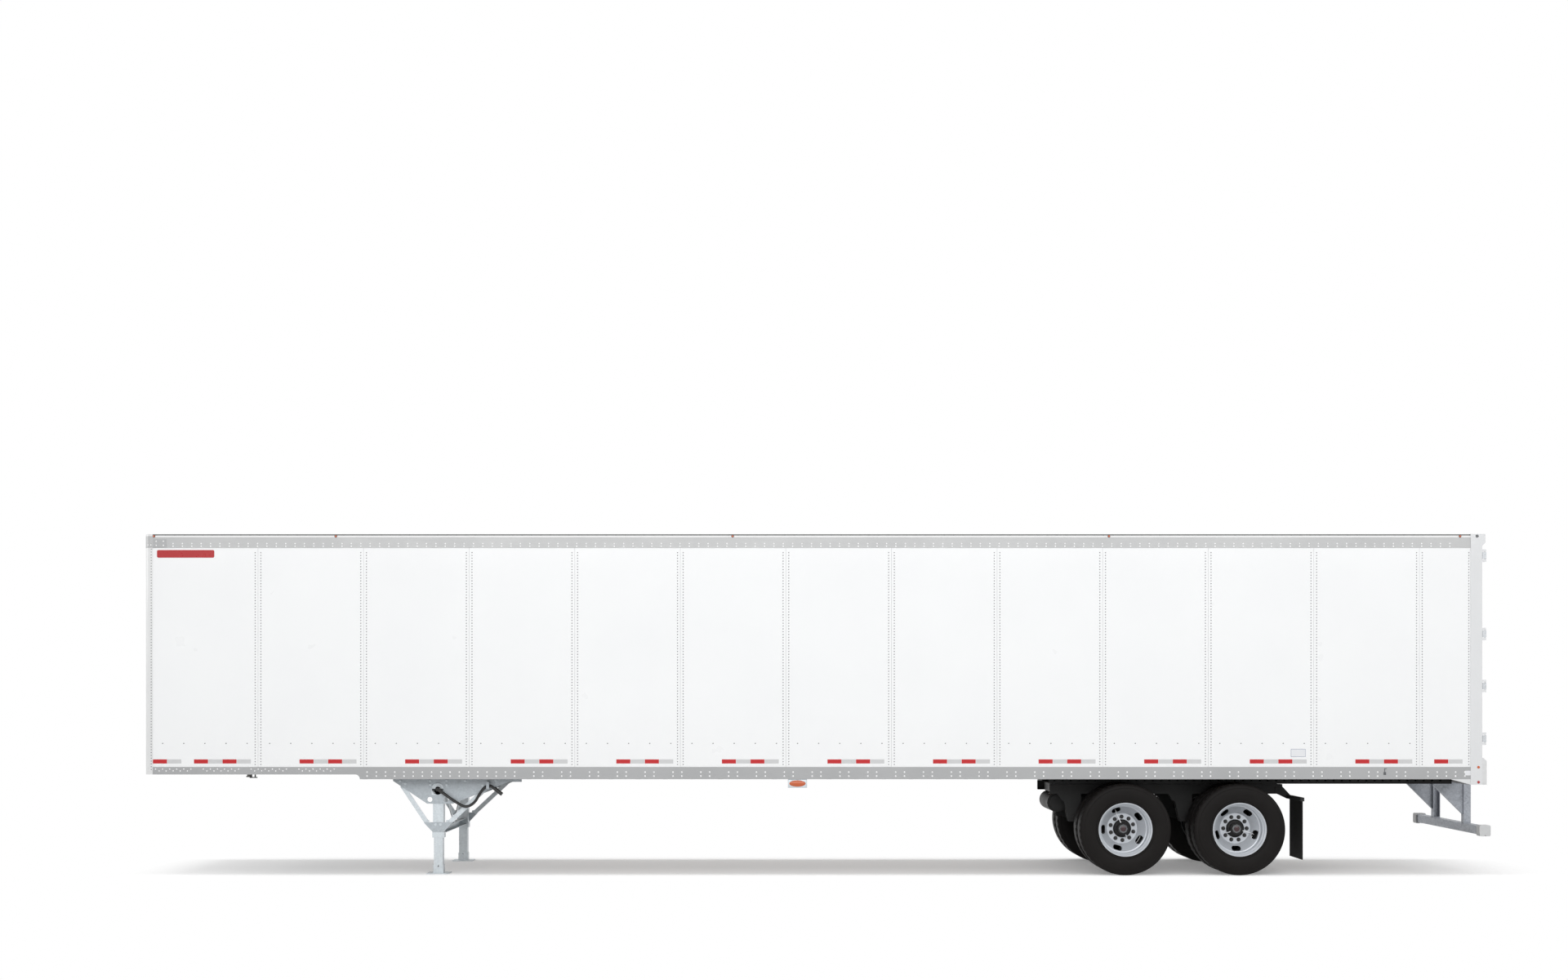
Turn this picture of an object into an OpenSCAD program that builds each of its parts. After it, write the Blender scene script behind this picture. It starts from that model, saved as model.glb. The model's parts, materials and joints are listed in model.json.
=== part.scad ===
// Tandem-axle dry-van semi trailer, 53 ft long, parked on its landing legs.
// The nose points to -X, the doors to +X, and the ground is at Z = 0.

/* [Overall] */
// Length from the front face to the rear bumper blocks
trailer_len = 16154; // [13000:1:20000]
// Width over the side lamps
trailer_w = 2591; // [2150:1:3150]
// Height of the rear header's top above the ground
trailer_h = 4115; // [3400:1:5000]
// Height of the coupler plate's underside above the ground
coupler_h = 1219; // [1190:1:1300]

/* [Floor] */
// Depth of the coupler frame, from its underside to the floor boards
coupler_depth = 43; // [35:1:60]
// Length of the coupler plate
coupler_len = 2504; // [1800:1:3000]
// Thickness of the coupler plate
coupler_t = 8; // [6:1:16]
// Thickness of the floor boards
board_t = 35; // [28:1:42]
// Number of floor boards across the width
board_count = 8; // [6:1:10]
// Depth of a crossmember
beam_h = 102; // [80:1:125]
// Flange width of a crossmember
beam_w = 57; // [45:1:75]
// Spacing of the crossmembers
beam_pitch = 329; // [250:1:450]

/* [Walls] */
// Thickness of a side panel
panel_t = 16; // [12:1:30]
// Distance from the front face to the first panel seam
first_seam = 1366; // [1000:1:1600]
// Spacing of the panel seams
panel_pitch = 1271; // [1000:1:1600]
// Gap between two panels at a seam
seam_gap = 3; // [1:1:6]
// Width of a wall post
post_w = 100; // [60:1:150]
// Thickness of a wall post
post_t = 10; // [6:1:16]
// How far the rails stand inside the side lamps
rail_inset = 10; // [6:1:16]
// Thickness of a rail's face
rail_t = 5; // [4:1:8]
// Height of the bottom rail below the floor boards
rail_drop = 100; // [80:1:120]
// Height of the bottom rail above the floor surface
rail_rise = 13; // [8:1:30]
// Height of the top rail's flat face
top_rail_h = 126; // [90:1:170]
// Radius of the top rail's rounded edge
cap_r = 37; // [25:1:45]
// Width of a front corner post, along the side
corner_w = 98; // [80:1:140]
// Radius of the front corners
corner_r = 70; // [40:1:80]
// Thickness of the front wall
front_t = 56; // [50:1:80]
// Thickness of the roof sheet
roof_t = 3; // [2:1:5]
// Depth of a roof bow
bow_h = 38; // [25:1:50]
// Spacing of the roof bows
bow_pitch = 609; // [500:1:900]

/* [Rear frame] */
// Length of a rear post, from its front to its rear face
post_depth = 138; // [120:1:170]
// Distance from the bumper blocks' rear to the posts' rear face
bumper_depth = 54; // [45:1:70]
// Height of the rear posts' feet above the ground
sill_low = 1096; // [1060:1:1120]
// Depth of the rear header
header_h = 130; // [100:1:180]
// Radius of a hinge knuckle
knuckle_r = 14; // [12:1:16]
// Thickness of a door
door_t = 45; // [35:1:50]
// Space between a door and the frame around it
door_gap = 10; // [8:1:16]
// Height of a bumper block
bumper_h = 326; // [200:1:380]
// Radius of a lock rod
rod_r = 12; // [10:1:13]
// Distance of a lock rod from the doors' meeting edges
rod_edge = 230; // [150:1:400]

/* [Rear guard] */
// Size of the guard's tubes
guard_tube = 102; // [80:1:120]
// Height of the guard's underside above the ground
guard_low = 490; // [420:1:560]
// Length of the guard's cross tube
guard_len = 2308; // [1800:1:2340]
// How far the guard's end caps stand behind the bumper blocks
guard_behind = 55; // [0:1:150]
// Distance between the guard's two uprights
guard_spread = 1152; // [900:1:1300]

/* [Landing gear] */
// Distance from the front face to the landing legs
leg_setback = 3487; // [3100:1:4200]
// Distance between the two legs' centres
leg_spread = 1880; // [1500:1:2000]
// Width of a leg's outer tube
leg_w = 127; // [100:1:150]
// Width of a leg's inner tube
inner_leg_w = 108; // [80:1:120]
// Width of a foot plate along the trailer
foot_len = 270; // [200:1:350]
// Width of a foot plate across the trailer
foot_w = 250; // [180:1:320]
// Thickness of the landing gear's plates
bracket_t = 8; // [6:1:10]

/* [Running gear] */
// Distance from the rear end to the middle of the tandem
tandem_setback = 3651; // [3300:1:4600]
// Distance between the two axles
axle_spread = 1376; // [1240:1:1500]
// Travel of the sliding tandem towards the rear
slide_travel = 1829; // [600:1:1829]
// Radius of a tyre
tyre_r = 552; // [500:1:560]
// Width of a tyre
tyre_w = 279; // [250:1:295]
// Distance between the two tyres of a pair
dual_spacing = 318; // [300:1:330]
// Distance from the centre line to the middle of a pair
track_half = 984; // [940:1:990]
// Radius of the bead seat of a rim
rim_r = 310.8; // [280:0.1:320]
// Width between the rim flanges
rim_w = 208; // [190:1:215]
// Height of the rim flange over the bead seat
flange_h = 13.6; // [10:0.1:16]
// Radius of an axle tube
axle_r = 63.5; // [50:0.5:70]
// Radius of a spindle
spindle_r = 45; // [35:1:48]
// Radius of a brake drum
drum_r = 225; // [190:1:235]
// Distance from the centre line to a frame rail's centre
frame_y = 560; // [500:1:570]
// Width of a frame rail
frame_w = 90; // [70:1:100]
// Depth of a body slider rail
body_rail_h = 83; // [70:1:90]
// Depth of a slider frame rail
slider_h = 119; // [90:1:125]
// Radius of an air spring
spring_r = 105; // [90:1:110]
// Height of the mud flaps
flap_h = 703; // [500:1:760]
// Width of the mud flaps
flap_w = 600; // [450:1:610]

/* [Hidden] */
$fn = 48;
// gap between separate solids of one node, and between turning or sliding faces
fit = 0.4;
// running space round what moves
clear = 6;

half_len = (trailer_len + guard_behind) / 2;
half_w = trailer_w / 2;
function from_front(d) = d - half_len;
function from_rear(d) = half_len - guard_behind - d;

// heights
beam_top = coupler_h + coupler_depth;
beam_low = beam_top - beam_h;
floor_top = beam_top + board_t;
rail_low = beam_top - rail_drop;
rail_top = floor_top + rail_rise;
roof_top = trailer_h - 2;
cap_top = roof_top - roof_t;
top_rail_low = cap_top - cap_r - top_rail_h;
slot_low = cap_top - 70;
panel_top = cap_top - cap_r - rail_t;
bow_low = cap_top - bow_h;
header_low = trailer_h - header_h;

// sideways distances from the centre line
rail_out = half_w - rail_inset;
panel_out = rail_out - rail_t;
panel_in = panel_out - panel_t;
ledge_in = panel_in - 10.5;
post_out = half_w - 3;
post_in = half_w - 65;
lip_t = 6;
corner_in = rail_out - corner_w + 8;
front_rail_top = cap_top - 150;

// places along the trailer
front_x = from_front(0);
floor_x = front_x + front_t;
side_x = front_x + corner_w;
post_rear_x = from_rear(bumper_depth);
post_front_x = post_rear_x - post_depth;
door_rear_x = post_rear_x - 25;
door_front_x = door_rear_x - door_t;
frame_rear_x = door_rear_x - 8;
coupler_end_x = floor_x + coupler_len;
step_x = from_front(2593);
leg_x = from_front(leg_setback);
tandem_x = from_rear(tandem_setback);
slider_front_x = tandem_x - 1518;
slider_rear_x = tandem_x + 1363;

// hinge line of the doors
pin_x = from_rear(knuckle_r);
pin_y = half_w - 19.5;

wall_len = post_front_x - side_x;
seam_count = floor((post_front_x - from_front(first_seam) - 250) / panel_pitch) + 1;
function seam_x(i) = from_front(first_seam) + i * panel_pitch;

// ---- helpers ----

// a box from its two opposite corners
module block(a, b) {
    translate(a) cube(b - a);
}

// the same shape on the left and the right of the trailer
module both_sides() {
    children();
    mirror([0, 1, 0]) children();
}

// a plan outline in X and Z, given a thickness from y0 to y1
module side_plate(y0, y1) {
    translate([0, y1, 0]) rotate([90, 0, 0]) linear_extrude(y1 - y0) children();
}

// a section in Y and Z, run along X from x0 to x1
module along(x0, x1) {
    translate([x0, 0, 0]) rotate([90, 0, 90]) linear_extrude(x1 - x0) children();
}

// a round bar across the trailer
module cross_bar(x, z, r, y0, y1) {
    translate([x, y1, z]) rotate([90, 0, 0]) cylinder(h = y1 - y0, r = r);
}

// a round bar between two points of one upright plane along the trailer
module bar_between(a, b, r) {
    run = b - a;
    translate(a) rotate([0, atan2(run[0], run[2]), 0]) cylinder(h = norm(run), r = r, $fn = 24);
}

// a flat strap between two points of that plane, y0 to y1 thick
module strap(a, b, w, y0, y1) {
    run = b - a;
    side_plate(y0, y1)
        translate(a) rotate(atan2(run[1], run[0])) translate([0, -w / 2]) square([norm(run), w]);
}

// ---- floor and underframe ----

module floor_boards() {
    pitch = 2 * panel_in / board_count;
    color("burlywood") for (i = [0:board_count - 1])
        block([floor_x, -panel_in + i * pitch + (i > 0 ? fit / 2 : 0), beam_top],
            [post_front_x, -panel_in + (i + 1) * pitch - (i < board_count - 1 ? fit / 2 : 0),
            floor_top]);
}

module beam_section() {
    flange = 6;
    web = 5;
    translate([-beam_w / 2, 0]) square([beam_w, flange]);
    translate([-web / 2, 0]) square([web, beam_h]);
    translate([-beam_w / 2, beam_h - flange]) square([beam_w, flange]);
}

module crossmembers() {
    first = coupler_end_x + 90;
    count = floor((post_front_x - 40 - first) / beam_pitch) + 1;
    color("dimgray") for (i = [0:count - 1])
        translate([first + i * beam_pitch, ledge_in, beam_low])
            rotate([90, 0, 0]) linear_extrude(2 * ledge_in) beam_section();
}

module coupler_plate() {
    rib_w = 80;
    rib_count = 8;
    rib_pitch = (coupler_len - rib_w) / (rib_count - 1);
    color("dimgray") {
        block([floor_x, -ledge_in, coupler_h], [coupler_end_x, ledge_in, coupler_h + coupler_t]);
        for (i = [0:rib_count - 1])
            block([floor_x + i * rib_pitch, -ledge_in, coupler_h],
                [floor_x + i * rib_pitch + rib_w, ledge_in, beam_top]);
    }
}

// the standard 2-inch kingpin, 3 ft behind the front face
kingpin_x = from_front(914);
kingpin_neck_r = 25.4;
kingpin_collar_r = 35.7;
kingpin_len = 84;
module kingpin() {
    color("silver") translate([kingpin_x, 0, coupler_h - kingpin_len]) {
        cylinder(h = 14, r = kingpin_collar_r);
        cylinder(h = kingpin_len, r = kingpin_neck_r);
        translate([0, 0, 49]) cylinder(h = kingpin_len - 49, r = 36.5);
    }
}

// ---- body shell ----

// the face of the bottom rail, shallower over the coupler, with a rounded step
module bottom_rail_face() {
    step_r = rail_low < coupler_h ? coupler_h - rail_low : 1;
    difference() {
        translate([side_x, rail_low]) square([wall_len, rail_top - rail_low]);
        translate([side_x - 1, rail_low - 1])
            square([step_x - step_r - side_x + 1, coupler_h - rail_low + 1]);
        translate([step_x - step_r, rail_low]) circle(r = step_r);
    }
}

module bottom_rails() {
    color("silver") both_sides() union() {
        side_plate(panel_out, rail_out) bottom_rail_face();
        block([side_x, ledge_in, beam_top - lip_t], [post_front_x, panel_out, beam_top]);
        block([step_x, ledge_in, rail_low], [post_front_x, panel_out, rail_low + lip_t]);
        block([side_x, ledge_in, coupler_h], [step_x - 70, panel_out, coupler_h + lip_t]);
    }
}

module top_rail_section() {
    bend_z = cap_top - cap_r;
    translate([panel_out, top_rail_low]) square([rail_t, top_rail_h]);
    translate([rail_out - cap_r, bend_z]) intersection() {
        difference() {
            circle(r = cap_r);
            circle(r = cap_r - lip_t);
        }
        square(cap_r + 1);
    }
    translate([rail_out - cap_r - 20, cap_top - lip_t]) square([20, lip_t]);
    translate([panel_in - lip_t, slot_low]) square([lip_t, cap_top - slot_low - 3]);
}

module top_rails() {
    color("gainsboro") both_sides() along(side_x, post_front_x) top_rail_section();
}

module side_wall() {
    for (i = [0:seam_count]) {
        x0 = i == 0 ? side_x : seam_x(i - 1) + seam_gap / 2;
        x1 = i == seam_count ? post_front_x : seam_x(i) - seam_gap / 2;
        block([x0, panel_in, beam_top], [x1, panel_out, panel_top]);
    }
}

module right_wall() {
    color("white") side_wall();
}

module left_wall() {
    color("white") mirror([0, 1, 0]) side_wall();
}

module wall_posts() {
    color("gainsboro") both_sides() for (i = [0:seam_count - 1])
        block([seam_x(i) - post_w / 2, panel_in - post_t, floor_top],
            [seam_x(i) + post_w / 2, panel_in, slot_low]);
}

// plan of a front corner post, its outer corner rounded
module corner_post_plan() {
    difference() {
        intersection() {
            union() {
                translate([front_x, corner_in]) square([corner_w, rail_out - corner_r - corner_in]);
                translate([front_x + corner_r, corner_in])
                    square([corner_w - corner_r, rail_out - corner_in]);
                translate([front_x + corner_r, rail_out - corner_r]) circle(r = corner_r);
            }
            translate([front_x, corner_in]) square([corner_w, corner_w]);
        }
        translate([front_x + front_t, corner_in - 1])
            square([corner_w, panel_in - corner_in + 1]);
    }
}

module front_frame() {
    color("gainsboro") {
        both_sides() translate([0, 0, coupler_h])
            linear_extrude(cap_top - coupler_h) corner_post_plan();
        block([front_x, -corner_in + fit, coupler_h], [floor_x, corner_in - fit, rail_top]);
        block([front_x, -corner_in + fit, front_rail_top], [floor_x, corner_in - fit, cap_top]);
    }
}

// the pocket for the electrical and air connections
pocket_w = 420;
pocket_h = 180;
pocket_depth = 42;
pocket_z = rail_top + 30;
front_skin = 6;
module front_wall() {
    third = 2 * corner_in / 3;
    color("white") difference() {
        for (i = [0:2])
            block([front_x + front_skin, -corner_in + i * third + (i > 0 ? seam_gap / 2 : 0),
                rail_top], [floor_x, -corner_in + (i + 1) * third - (i < 2 ? seam_gap / 2 : 0),
                front_rail_top]);
        block([front_x - 1, -pocket_w / 2, pocket_z],
            [front_x + front_skin + pocket_depth, pocket_w / 2, pocket_z + pocket_h]);
    }
}

// a tray with the seven-pin socket between two air couplings
module nose_box() {
    back_x = front_x + front_skin + pocket_depth;
    mid_z = pocket_z + pocket_h / 2;
    color("dimgray") {
        block([back_x - 8, -pocket_w / 2 + 4, pocket_z + 4],
            [back_x, pocket_w / 2 - 4, pocket_z + pocket_h - 4]);
        translate([front_x + 8, 0, mid_z]) rotate([0, 90, 0])
            cylinder(h = back_x - front_x - 8, r = 36);
        both_sides() {
            translate([front_x + 3, 140, mid_z]) rotate([0, 90, 0])
                cylinder(h = 24, r = 38);
            translate([front_x + 20, 140, mid_z]) rotate([0, 90, 0])
                cylinder(h = back_x - front_x - 20, r = 22);
        }
    }
}

module roof() {
    color("silver") block([front_x + 12, -rail_out + cap_r, cap_top],
        [post_front_x, rail_out - cap_r, roof_top]);
}

module roof_bows() {
    bow_w = 60;
    leg_in = panel_in - lip_t;
    cap_in = rail_out - cap_r - 20;
    first = front_x + 300;
    count = floor((post_front_x - 60 - first) / bow_pitch) + 1;
    color("silver") for (i = [0:count - 1]) translate([first + i * bow_pitch, 0, 0]) {
        block([-bow_w / 2, -leg_in, bow_low], [bow_w / 2, leg_in, cap_top - lip_t - 2]);
        block([-bow_w / 2, -cap_in, bow_low], [bow_w / 2, cap_in, cap_top]);
    }
}

// ---- rear frame ----

flare = 38;
hole_r = 20;
module rear_post_side() {
    difference() {
        polygon([[post_front_x, sill_low], [post_rear_x, sill_low],
            [post_rear_x, header_low - 15], [post_rear_x + flare, header_low + 25],
            [post_rear_x + flare, trailer_h], [post_front_x, trailer_h]]);
        translate([post_rear_x - 62, trailer_h - 28]) circle(r = hole_r);
    }
}

// plate that leads the bottom rail down to the foot of a rear post
gusset_len = 240;
module post_gusset() {
    side_plate(panel_out, rail_out)
        polygon([[post_front_x - gusset_len, rail_low], [post_front_x + 1, sill_low],
            [post_front_x + 1, rail_low]]);
}

// fixed half of a hinge: two ears on the post and the pin between them
hinge_z = [floor_top + 278, floor_top + 912, floor_top + 1539, header_low - 205];
hinge_h = 150;
ear_h = 28;
hinge_pin_r = 7;
module hinge_butt(z) {
    for (low = [z, z + hinge_h - ear_h]) {
        block([post_rear_x - 1, pin_y - 13, low], [pin_x, pin_y + 13, low + ear_h]);
        translate([pin_x, pin_y, low]) cylinder(h = ear_h, r = 13);
    }
    translate([pin_x, pin_y, z + 1]) cylinder(h = hinge_h - 2, r = hinge_pin_r);
}

lamp_r = 55;
lamp_depth = 30;
lamp_y = [780, 940, 1100];
lamp_z = sill_low + 90;
module rear_frame() {
    color("whitesmoke") {
        both_sides() {
            side_plate(post_in, post_out) rear_post_side();
            post_gusset();
            for (z = hinge_z) hinge_butt(z);
        }
        block([post_front_x, -post_in + fit, header_low],
            [frame_rear_x, post_in - fit, trailer_h]);
        difference() {
            block([post_front_x, -post_in + fit, sill_low],
                [frame_rear_x, post_in - fit, floor_top]);
            for (s = [-1, 1]) for (y = lamp_y)
                translate([frame_rear_x - lamp_depth, s * y, lamp_z]) rotate([0, 90, 0])
                    cylinder(h = lamp_depth + 1, r = lamp_r + 1);
        }
    }
}

module rear_lamps() {
    id_pitch = 150;
    color("firebrick") {
        for (s = [-1, 1]) for (y = lamp_y)
            translate([frame_rear_x - lamp_depth, s * y, lamp_z]) rotate([0, 90, 0])
                cylinder(h = lamp_depth + 6, r = lamp_r);
        for (i = [-1:1])
            block([frame_rear_x, i * id_pitch - 32, trailer_h - 75],
                [frame_rear_x + 16, i * id_pitch + 32, trailer_h - 50]);
        both_sides() block([frame_rear_x, post_in - 120, trailer_h - 75],
            [frame_rear_x + 16, post_in - 56, trailer_h - 50]);
    }
}

module bumper_blocks() {
    slope = 40;
    color("gray") both_sides() side_plate(post_in + 1, post_out)
        polygon([[post_rear_x, sill_low], [from_rear(0), sill_low],
            [from_rear(0), sill_low + bumper_h - slope], [post_rear_x + 8, sill_low + bumper_h],
            [post_rear_x, sill_low + bumper_h]]);
}

// lens places along the side, from the front face and from the rear end
marker_front = [corner_w + 16, 2304, 7080];
marker_rear = [4545, 319];
turn_lamp_x = from_front(7860);
module marker(x) {
    translate([x, half_w, cap_top - cap_r + 14]) rotate([90, 0, 0])
        cylinder(h = rail_inset, r = 12);
}

module side_lamps() {
    color("orange") both_sides() {
        for (d = marker_front) marker(from_front(d));
        for (d = marker_rear) marker(from_rear(d));
        for (z = [sill_low + 31, sill_low + 211])
            translate([post_rear_x - 45, half_w, z]) rotate([90, 0, 0]) cylinder(h = 3, r = 17);
        block([turn_lamp_x - 115, ledge_in + 2, rail_low - 104],
            [turn_lamp_x + 115, rail_out - 16, rail_low]);
        block([turn_lamp_x - 60, rail_out - 16, rail_low - 91],
            [turn_lamp_x + 60, rail_out - 2, rail_low - 13]);
        for (s = [-1, 1])
            cross_bar(turn_lamp_x + s * 60, rail_low - 52, 39, rail_out - 16, rail_out - 2);
    }
}

// ---- rear guard ----

cap_wall = 16;
guard_x = half_len - cap_wall - guard_tube;
guard_top = guard_low + guard_tube;
body_rail_low = beam_low - body_rail_h;

// plate from the underframe down to an upright, its sloping edge folded inwards
module guard_gusset(x, y) {
    plate_t = 8;
    run = 380;
    foot_z = guard_top + 110;
    side_plate(y, y + plate_t)
        polygon([[x - run, body_rail_low], [x + 1, foot_z], [x + 1, sill_low],
            [post_front_x, sill_low], [post_front_x, body_rail_low]]);
    strap([x - run + 12, body_rail_low - 14], [x, foot_z - 2], plate_t, y - 30, y + plate_t);
}

module underride_guard() {
    wall = 8;
    half_up = 45;
    up_front = guard_x + 14;
    up_rear = guard_x + guard_tube;
    up_y = guard_spread / 2;
    color("slategray") {
        block([guard_x, -guard_len / 2, guard_low],
            [guard_x + guard_tube, guard_len / 2, guard_top]);
        both_sides() {
            difference() {
                block([up_front, up_y - half_up, guard_top - 1],
                    [up_rear, up_y + half_up, sill_low]);
                block([up_front + wall, up_y - half_up - 1, guard_top + wall],
                    [up_rear - wall, up_y + half_up - wall, sill_low - wall]);
            }
            guard_gusset(up_front, up_y + 12);
        }
    }
}

// outline of an end cap: a rounded square with a drain notch underneath
module cap_outline() {
    size = guard_tube + 2 * cap_wall;
    r = 20;
    difference() {
        union() {
            translate([r, 0]) square([size - 2 * r, size]);
            translate([0, r]) square([size, size - 2 * r]);
            for (x = [r, size - r]) for (z = [r, size - r]) translate([x, z]) circle(r = r);
        }
        translate([size / 2, 0]) circle(r = 14);
    }
}

module guard_end_caps() {
    cap_len = 120;
    color("gainsboro") both_sides()
        side_plate(guard_len / 2, guard_len / 2 + cap_len)
            translate([guard_x - cap_wall, guard_low - cap_wall]) cap_outline();
}

// ---- landing gear ----

leg_y = leg_spread / 2;
leg_out = leg_y + leg_w / 2;
collar_low = 439;
collar_high = 507;
socket_h = 105;
module landing_legs() {
    half = leg_w / 2;
    inner = inner_leg_w / 2;
    color("silver") both_sides() translate([leg_x, leg_y, 0]) difference() {
        union() {
            block([-half, -half, collar_high], [half, half, beam_low - bracket_t]);
            block([-half - 8, -half, collar_low], [half + 8, half, collar_high]);
            block([-inner, -inner, socket_h], [inner, inner, collar_low]);
            block([-inner - 8, -inner, 10], [inner + 8, inner, socket_h + 1]);
            block([-foot_len / 2, -foot_w / 2, 0], [foot_len / 2, foot_w / 2, 10]);
        }
        translate([0, leg_w, 92]) rotate([90, 0, 0]) cylinder(h = 2 * leg_w, r = 11);
    }
}

// outline of a wing plate, around the leg's centre line
module wing_outline() {
    difference() {
        polygon([[leg_x - 549, beam_low], [leg_x - 549, beam_low - 30],
            [leg_x - 134, beam_low - 307], [leg_x + 180, beam_low - 307],
            [leg_x + 456, beam_low - 200], [leg_x + 781, beam_low - 74],
            [leg_x + 851, beam_low - 42], [leg_x + 1018, beam_low - 42],
            [leg_x + 1018, beam_low]]);
        for (s = [-1, 1]) translate([leg_x + s * 100, beam_low - 256]) circle(r = 31);
    }
}

plate_out = leg_out + bracket_t;

// bent strip that holds the folded crank
module crank_clip() {
    strip = 6;
    front = leg_x + 596;
    rear = front + 34;
    top = beam_low - 36;
    low = beam_low - 123;
    out = crank_y + 26;
    block([front, plate_out - 1, top - strip], [rear, out, top]);
    block([front, out - strip, low], [rear, out, top]);
    block([front, crank_y - 20, low], [rear, out, low + strip]);
}

module landing_gear_plates() {
    color("silver") {
        both_sides() {
            side_plate(leg_out, plate_out) wing_outline();
            block([leg_x - 549, leg_out - 50, beam_low - bracket_t],
                [leg_x + 1018, leg_out + 0.1, beam_low]);
            side_plate(leg_out, plate_out)
                polygon([[leg_x - 65, collar_high], [leg_x + 65, collar_high],
                    [leg_x + 170, collar_high + 110], [leg_x + 170, collar_high + 120],
                    [leg_x - 170, collar_high + 120], [leg_x - 170, collar_high + 110]]);
        }
        mirror([0, 1, 0]) crank_clip();
    }
}

// a channel between the legs, struts to the wing plates and two diagonals up to the legs
module landing_gear_braces() {
    inner_y = leg_y - leg_w / 2;
    strut_w = 55;
    strut_in = leg_out - bracket_t;
    low = collar_high - 27;
    channel_h = 80;
    channel_top = low + channel_h;
    color("gray") {
        both_sides() {
            strap([leg_x - 440, beam_low - 85], [leg_x - 137, collar_high + 113], strut_w,
                strut_in, leg_out);
            strap([leg_x + 575, beam_low - 125], [leg_x + 130, collar_high + 113], strut_w,
                strut_in, leg_out);
        }
        union() {
            difference() {
                block([leg_x - 40, -inner_y, low], [leg_x + 40, inner_y, channel_top]);
                block([leg_x - 34, -inner_y - 1, low + 6],
                    [leg_x + 41, inner_y + 1, channel_top - 6]);
            }
            both_sides() along(leg_x + 24, leg_x + 32)
                polygon([[-1, channel_top - 1], [40, channel_top - 1], [inner_y, beam_low - 95],
                    [inner_y, beam_low - 33], [-1, channel_top + 38]]);
        }
    }
}

crank_r = 14;
crank_y = plate_out + 46;
// where the folded crank bends, seen from the side, around the leg's centre line
crank_path = [[0, 125], [83, 188], [250, 304], [353, 345], [456, 282], [510, 178],
    [575, 106], [640, 94], [705, 136], [781, 188]];
function crank_point(i) = [leg_x + crank_path[i][0], -crank_y, beam_low - crank_path[i][1]];
module landing_gear_crank() {
    shaft_z = beam_low - crank_path[0][1];
    inner_y = leg_y - leg_w / 2;
    color("black") {
        for (i = [0:len(crank_path) - 2])
            bar_between(crank_point(i), crank_point(i + 1), crank_r);
        for (i = [0:len(crank_path) - 1])
            translate(crank_point(i)) sphere(r = crank_r + 1.5, $fn = 24);
        cross_bar(leg_x, shaft_z, 19, -crank_y - crank_r, -plate_out);
        cross_bar(leg_x, shaft_z, 14, -inner_y, inner_y);
    }
}

// ---- sliding tandem ----

frame_out = frame_y + frame_w / 2;
frame_in = frame_y - frame_w / 2;
pad_t = 5;
slider_top = body_rail_low - fit - pad_t;
slider_low = slider_top - slider_h;
pin_pitch = 101.6;
pin_hole_r = 13;

module slider_rails() {
    hole_count = floor((post_front_x - slider_front_x - 120) / pin_pitch) + 1;
    wall = 8;
    color("dimgray") both_sides() difference() {
        block([slider_front_x, frame_in, body_rail_low], [post_front_x, frame_out, beam_low]);
        block([slider_front_x - 1, frame_in + wall, body_rail_low + wall],
            [post_front_x + 1, frame_out - wall, beam_low - wall]);
        for (i = [0:hole_count - 1])
            cross_bar(slider_front_x + 60 + i * pin_pitch, (body_rail_low + beam_low) / 2,
                pin_hole_r, frame_out - 2 * wall, frame_out + 1);
    }
}

cross_x = [-1400, -1120, -640, 60, 690, 1290];
module slider_frame() {
    wall = 8;
    color("dimgray") {
        both_sides() {
            difference() {
                block([slider_front_x, frame_in, slider_low],
                    [slider_rear_x, frame_out, slider_top]);
                block([slider_front_x - 1, frame_in - 1, slider_low + wall],
                    [slider_rear_x + 1, frame_out - wall, slider_top - wall]);
            }
            for (i = [0:3])
                translate([slider_front_x + 60 + i * 860, 0, 0])
                    block([0, frame_in + 15, slider_top - 1],
                        [180, frame_out - 15, slider_top + pad_t]);
        }
        for (x = cross_x)
            block([tandem_x + x - 40, -frame_in - 1, slider_low],
                [tandem_x + x + 40, frame_in + 1, slider_top - 15]);
    }
}

axle_x = [tandem_x - axle_spread / 2, tandem_x + axle_spread / 2];
hanger_ahead = 532;
pivot_z = tyre_r + 113;
pivot_r = 20;
arm_w = 70;
hanger_y = frame_y - 5;

// one hanger: two cheeks, a top plate and the pivot bolt
module hanger(x) {
    cheek_in = arm_w / 2 + 8;
    both_sides() translate([x, hanger_y, 0]) {
        for (s = [0, 1]) mirror([0, s, 0]) side_plate(cheek_in, cheek_in + 10)
            polygon([[-120, slider_low], [-120, slider_low - 90], [-62, pivot_z - 54],
                [62, pivot_z - 54], [90, slider_low - 90], [90, slider_low]]);
        block([-120, -cheek_in - 1, slider_low - 10], [90, cheek_in + 1, slider_low]);
        block([-120, -cheek_in - 1, slider_low - 90], [-112, cheek_in + 1, slider_low]);
        cross_bar(0, pivot_z, pivot_r, -cheek_in - 24, cheek_in + 24);
    }
}

module suspension_hangers() {
    color("dimgray") for (x = axle_x) hanger(x - hanger_ahead);
}

spring_back = 330;
spring_low = tyre_r + 60;
// side view of a trailing arm around its axle's centre
module arm_outline() {
    difference() {
        union() {
            polygon([[-hanger_ahead, 168], [-90, 108], [200, 60], [440, 60], [440, 25],
                [180, -15], [90, -88], [-90, -88], [-hanger_ahead, 58]]);
            translate([-hanger_ahead, 113]) circle(r = 55);
        }
        circle(r = axle_r + fit);
        translate([-hanger_ahead, 113]) circle(r = pivot_r + fit);
    }
}

module trailing_arms() {
    color("dimgray") both_sides() for (x = axle_x) translate([x, 0, tyre_r])
        side_plate(hanger_y - arm_w / 2, hanger_y + arm_w / 2) arm_outline();
}

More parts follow.
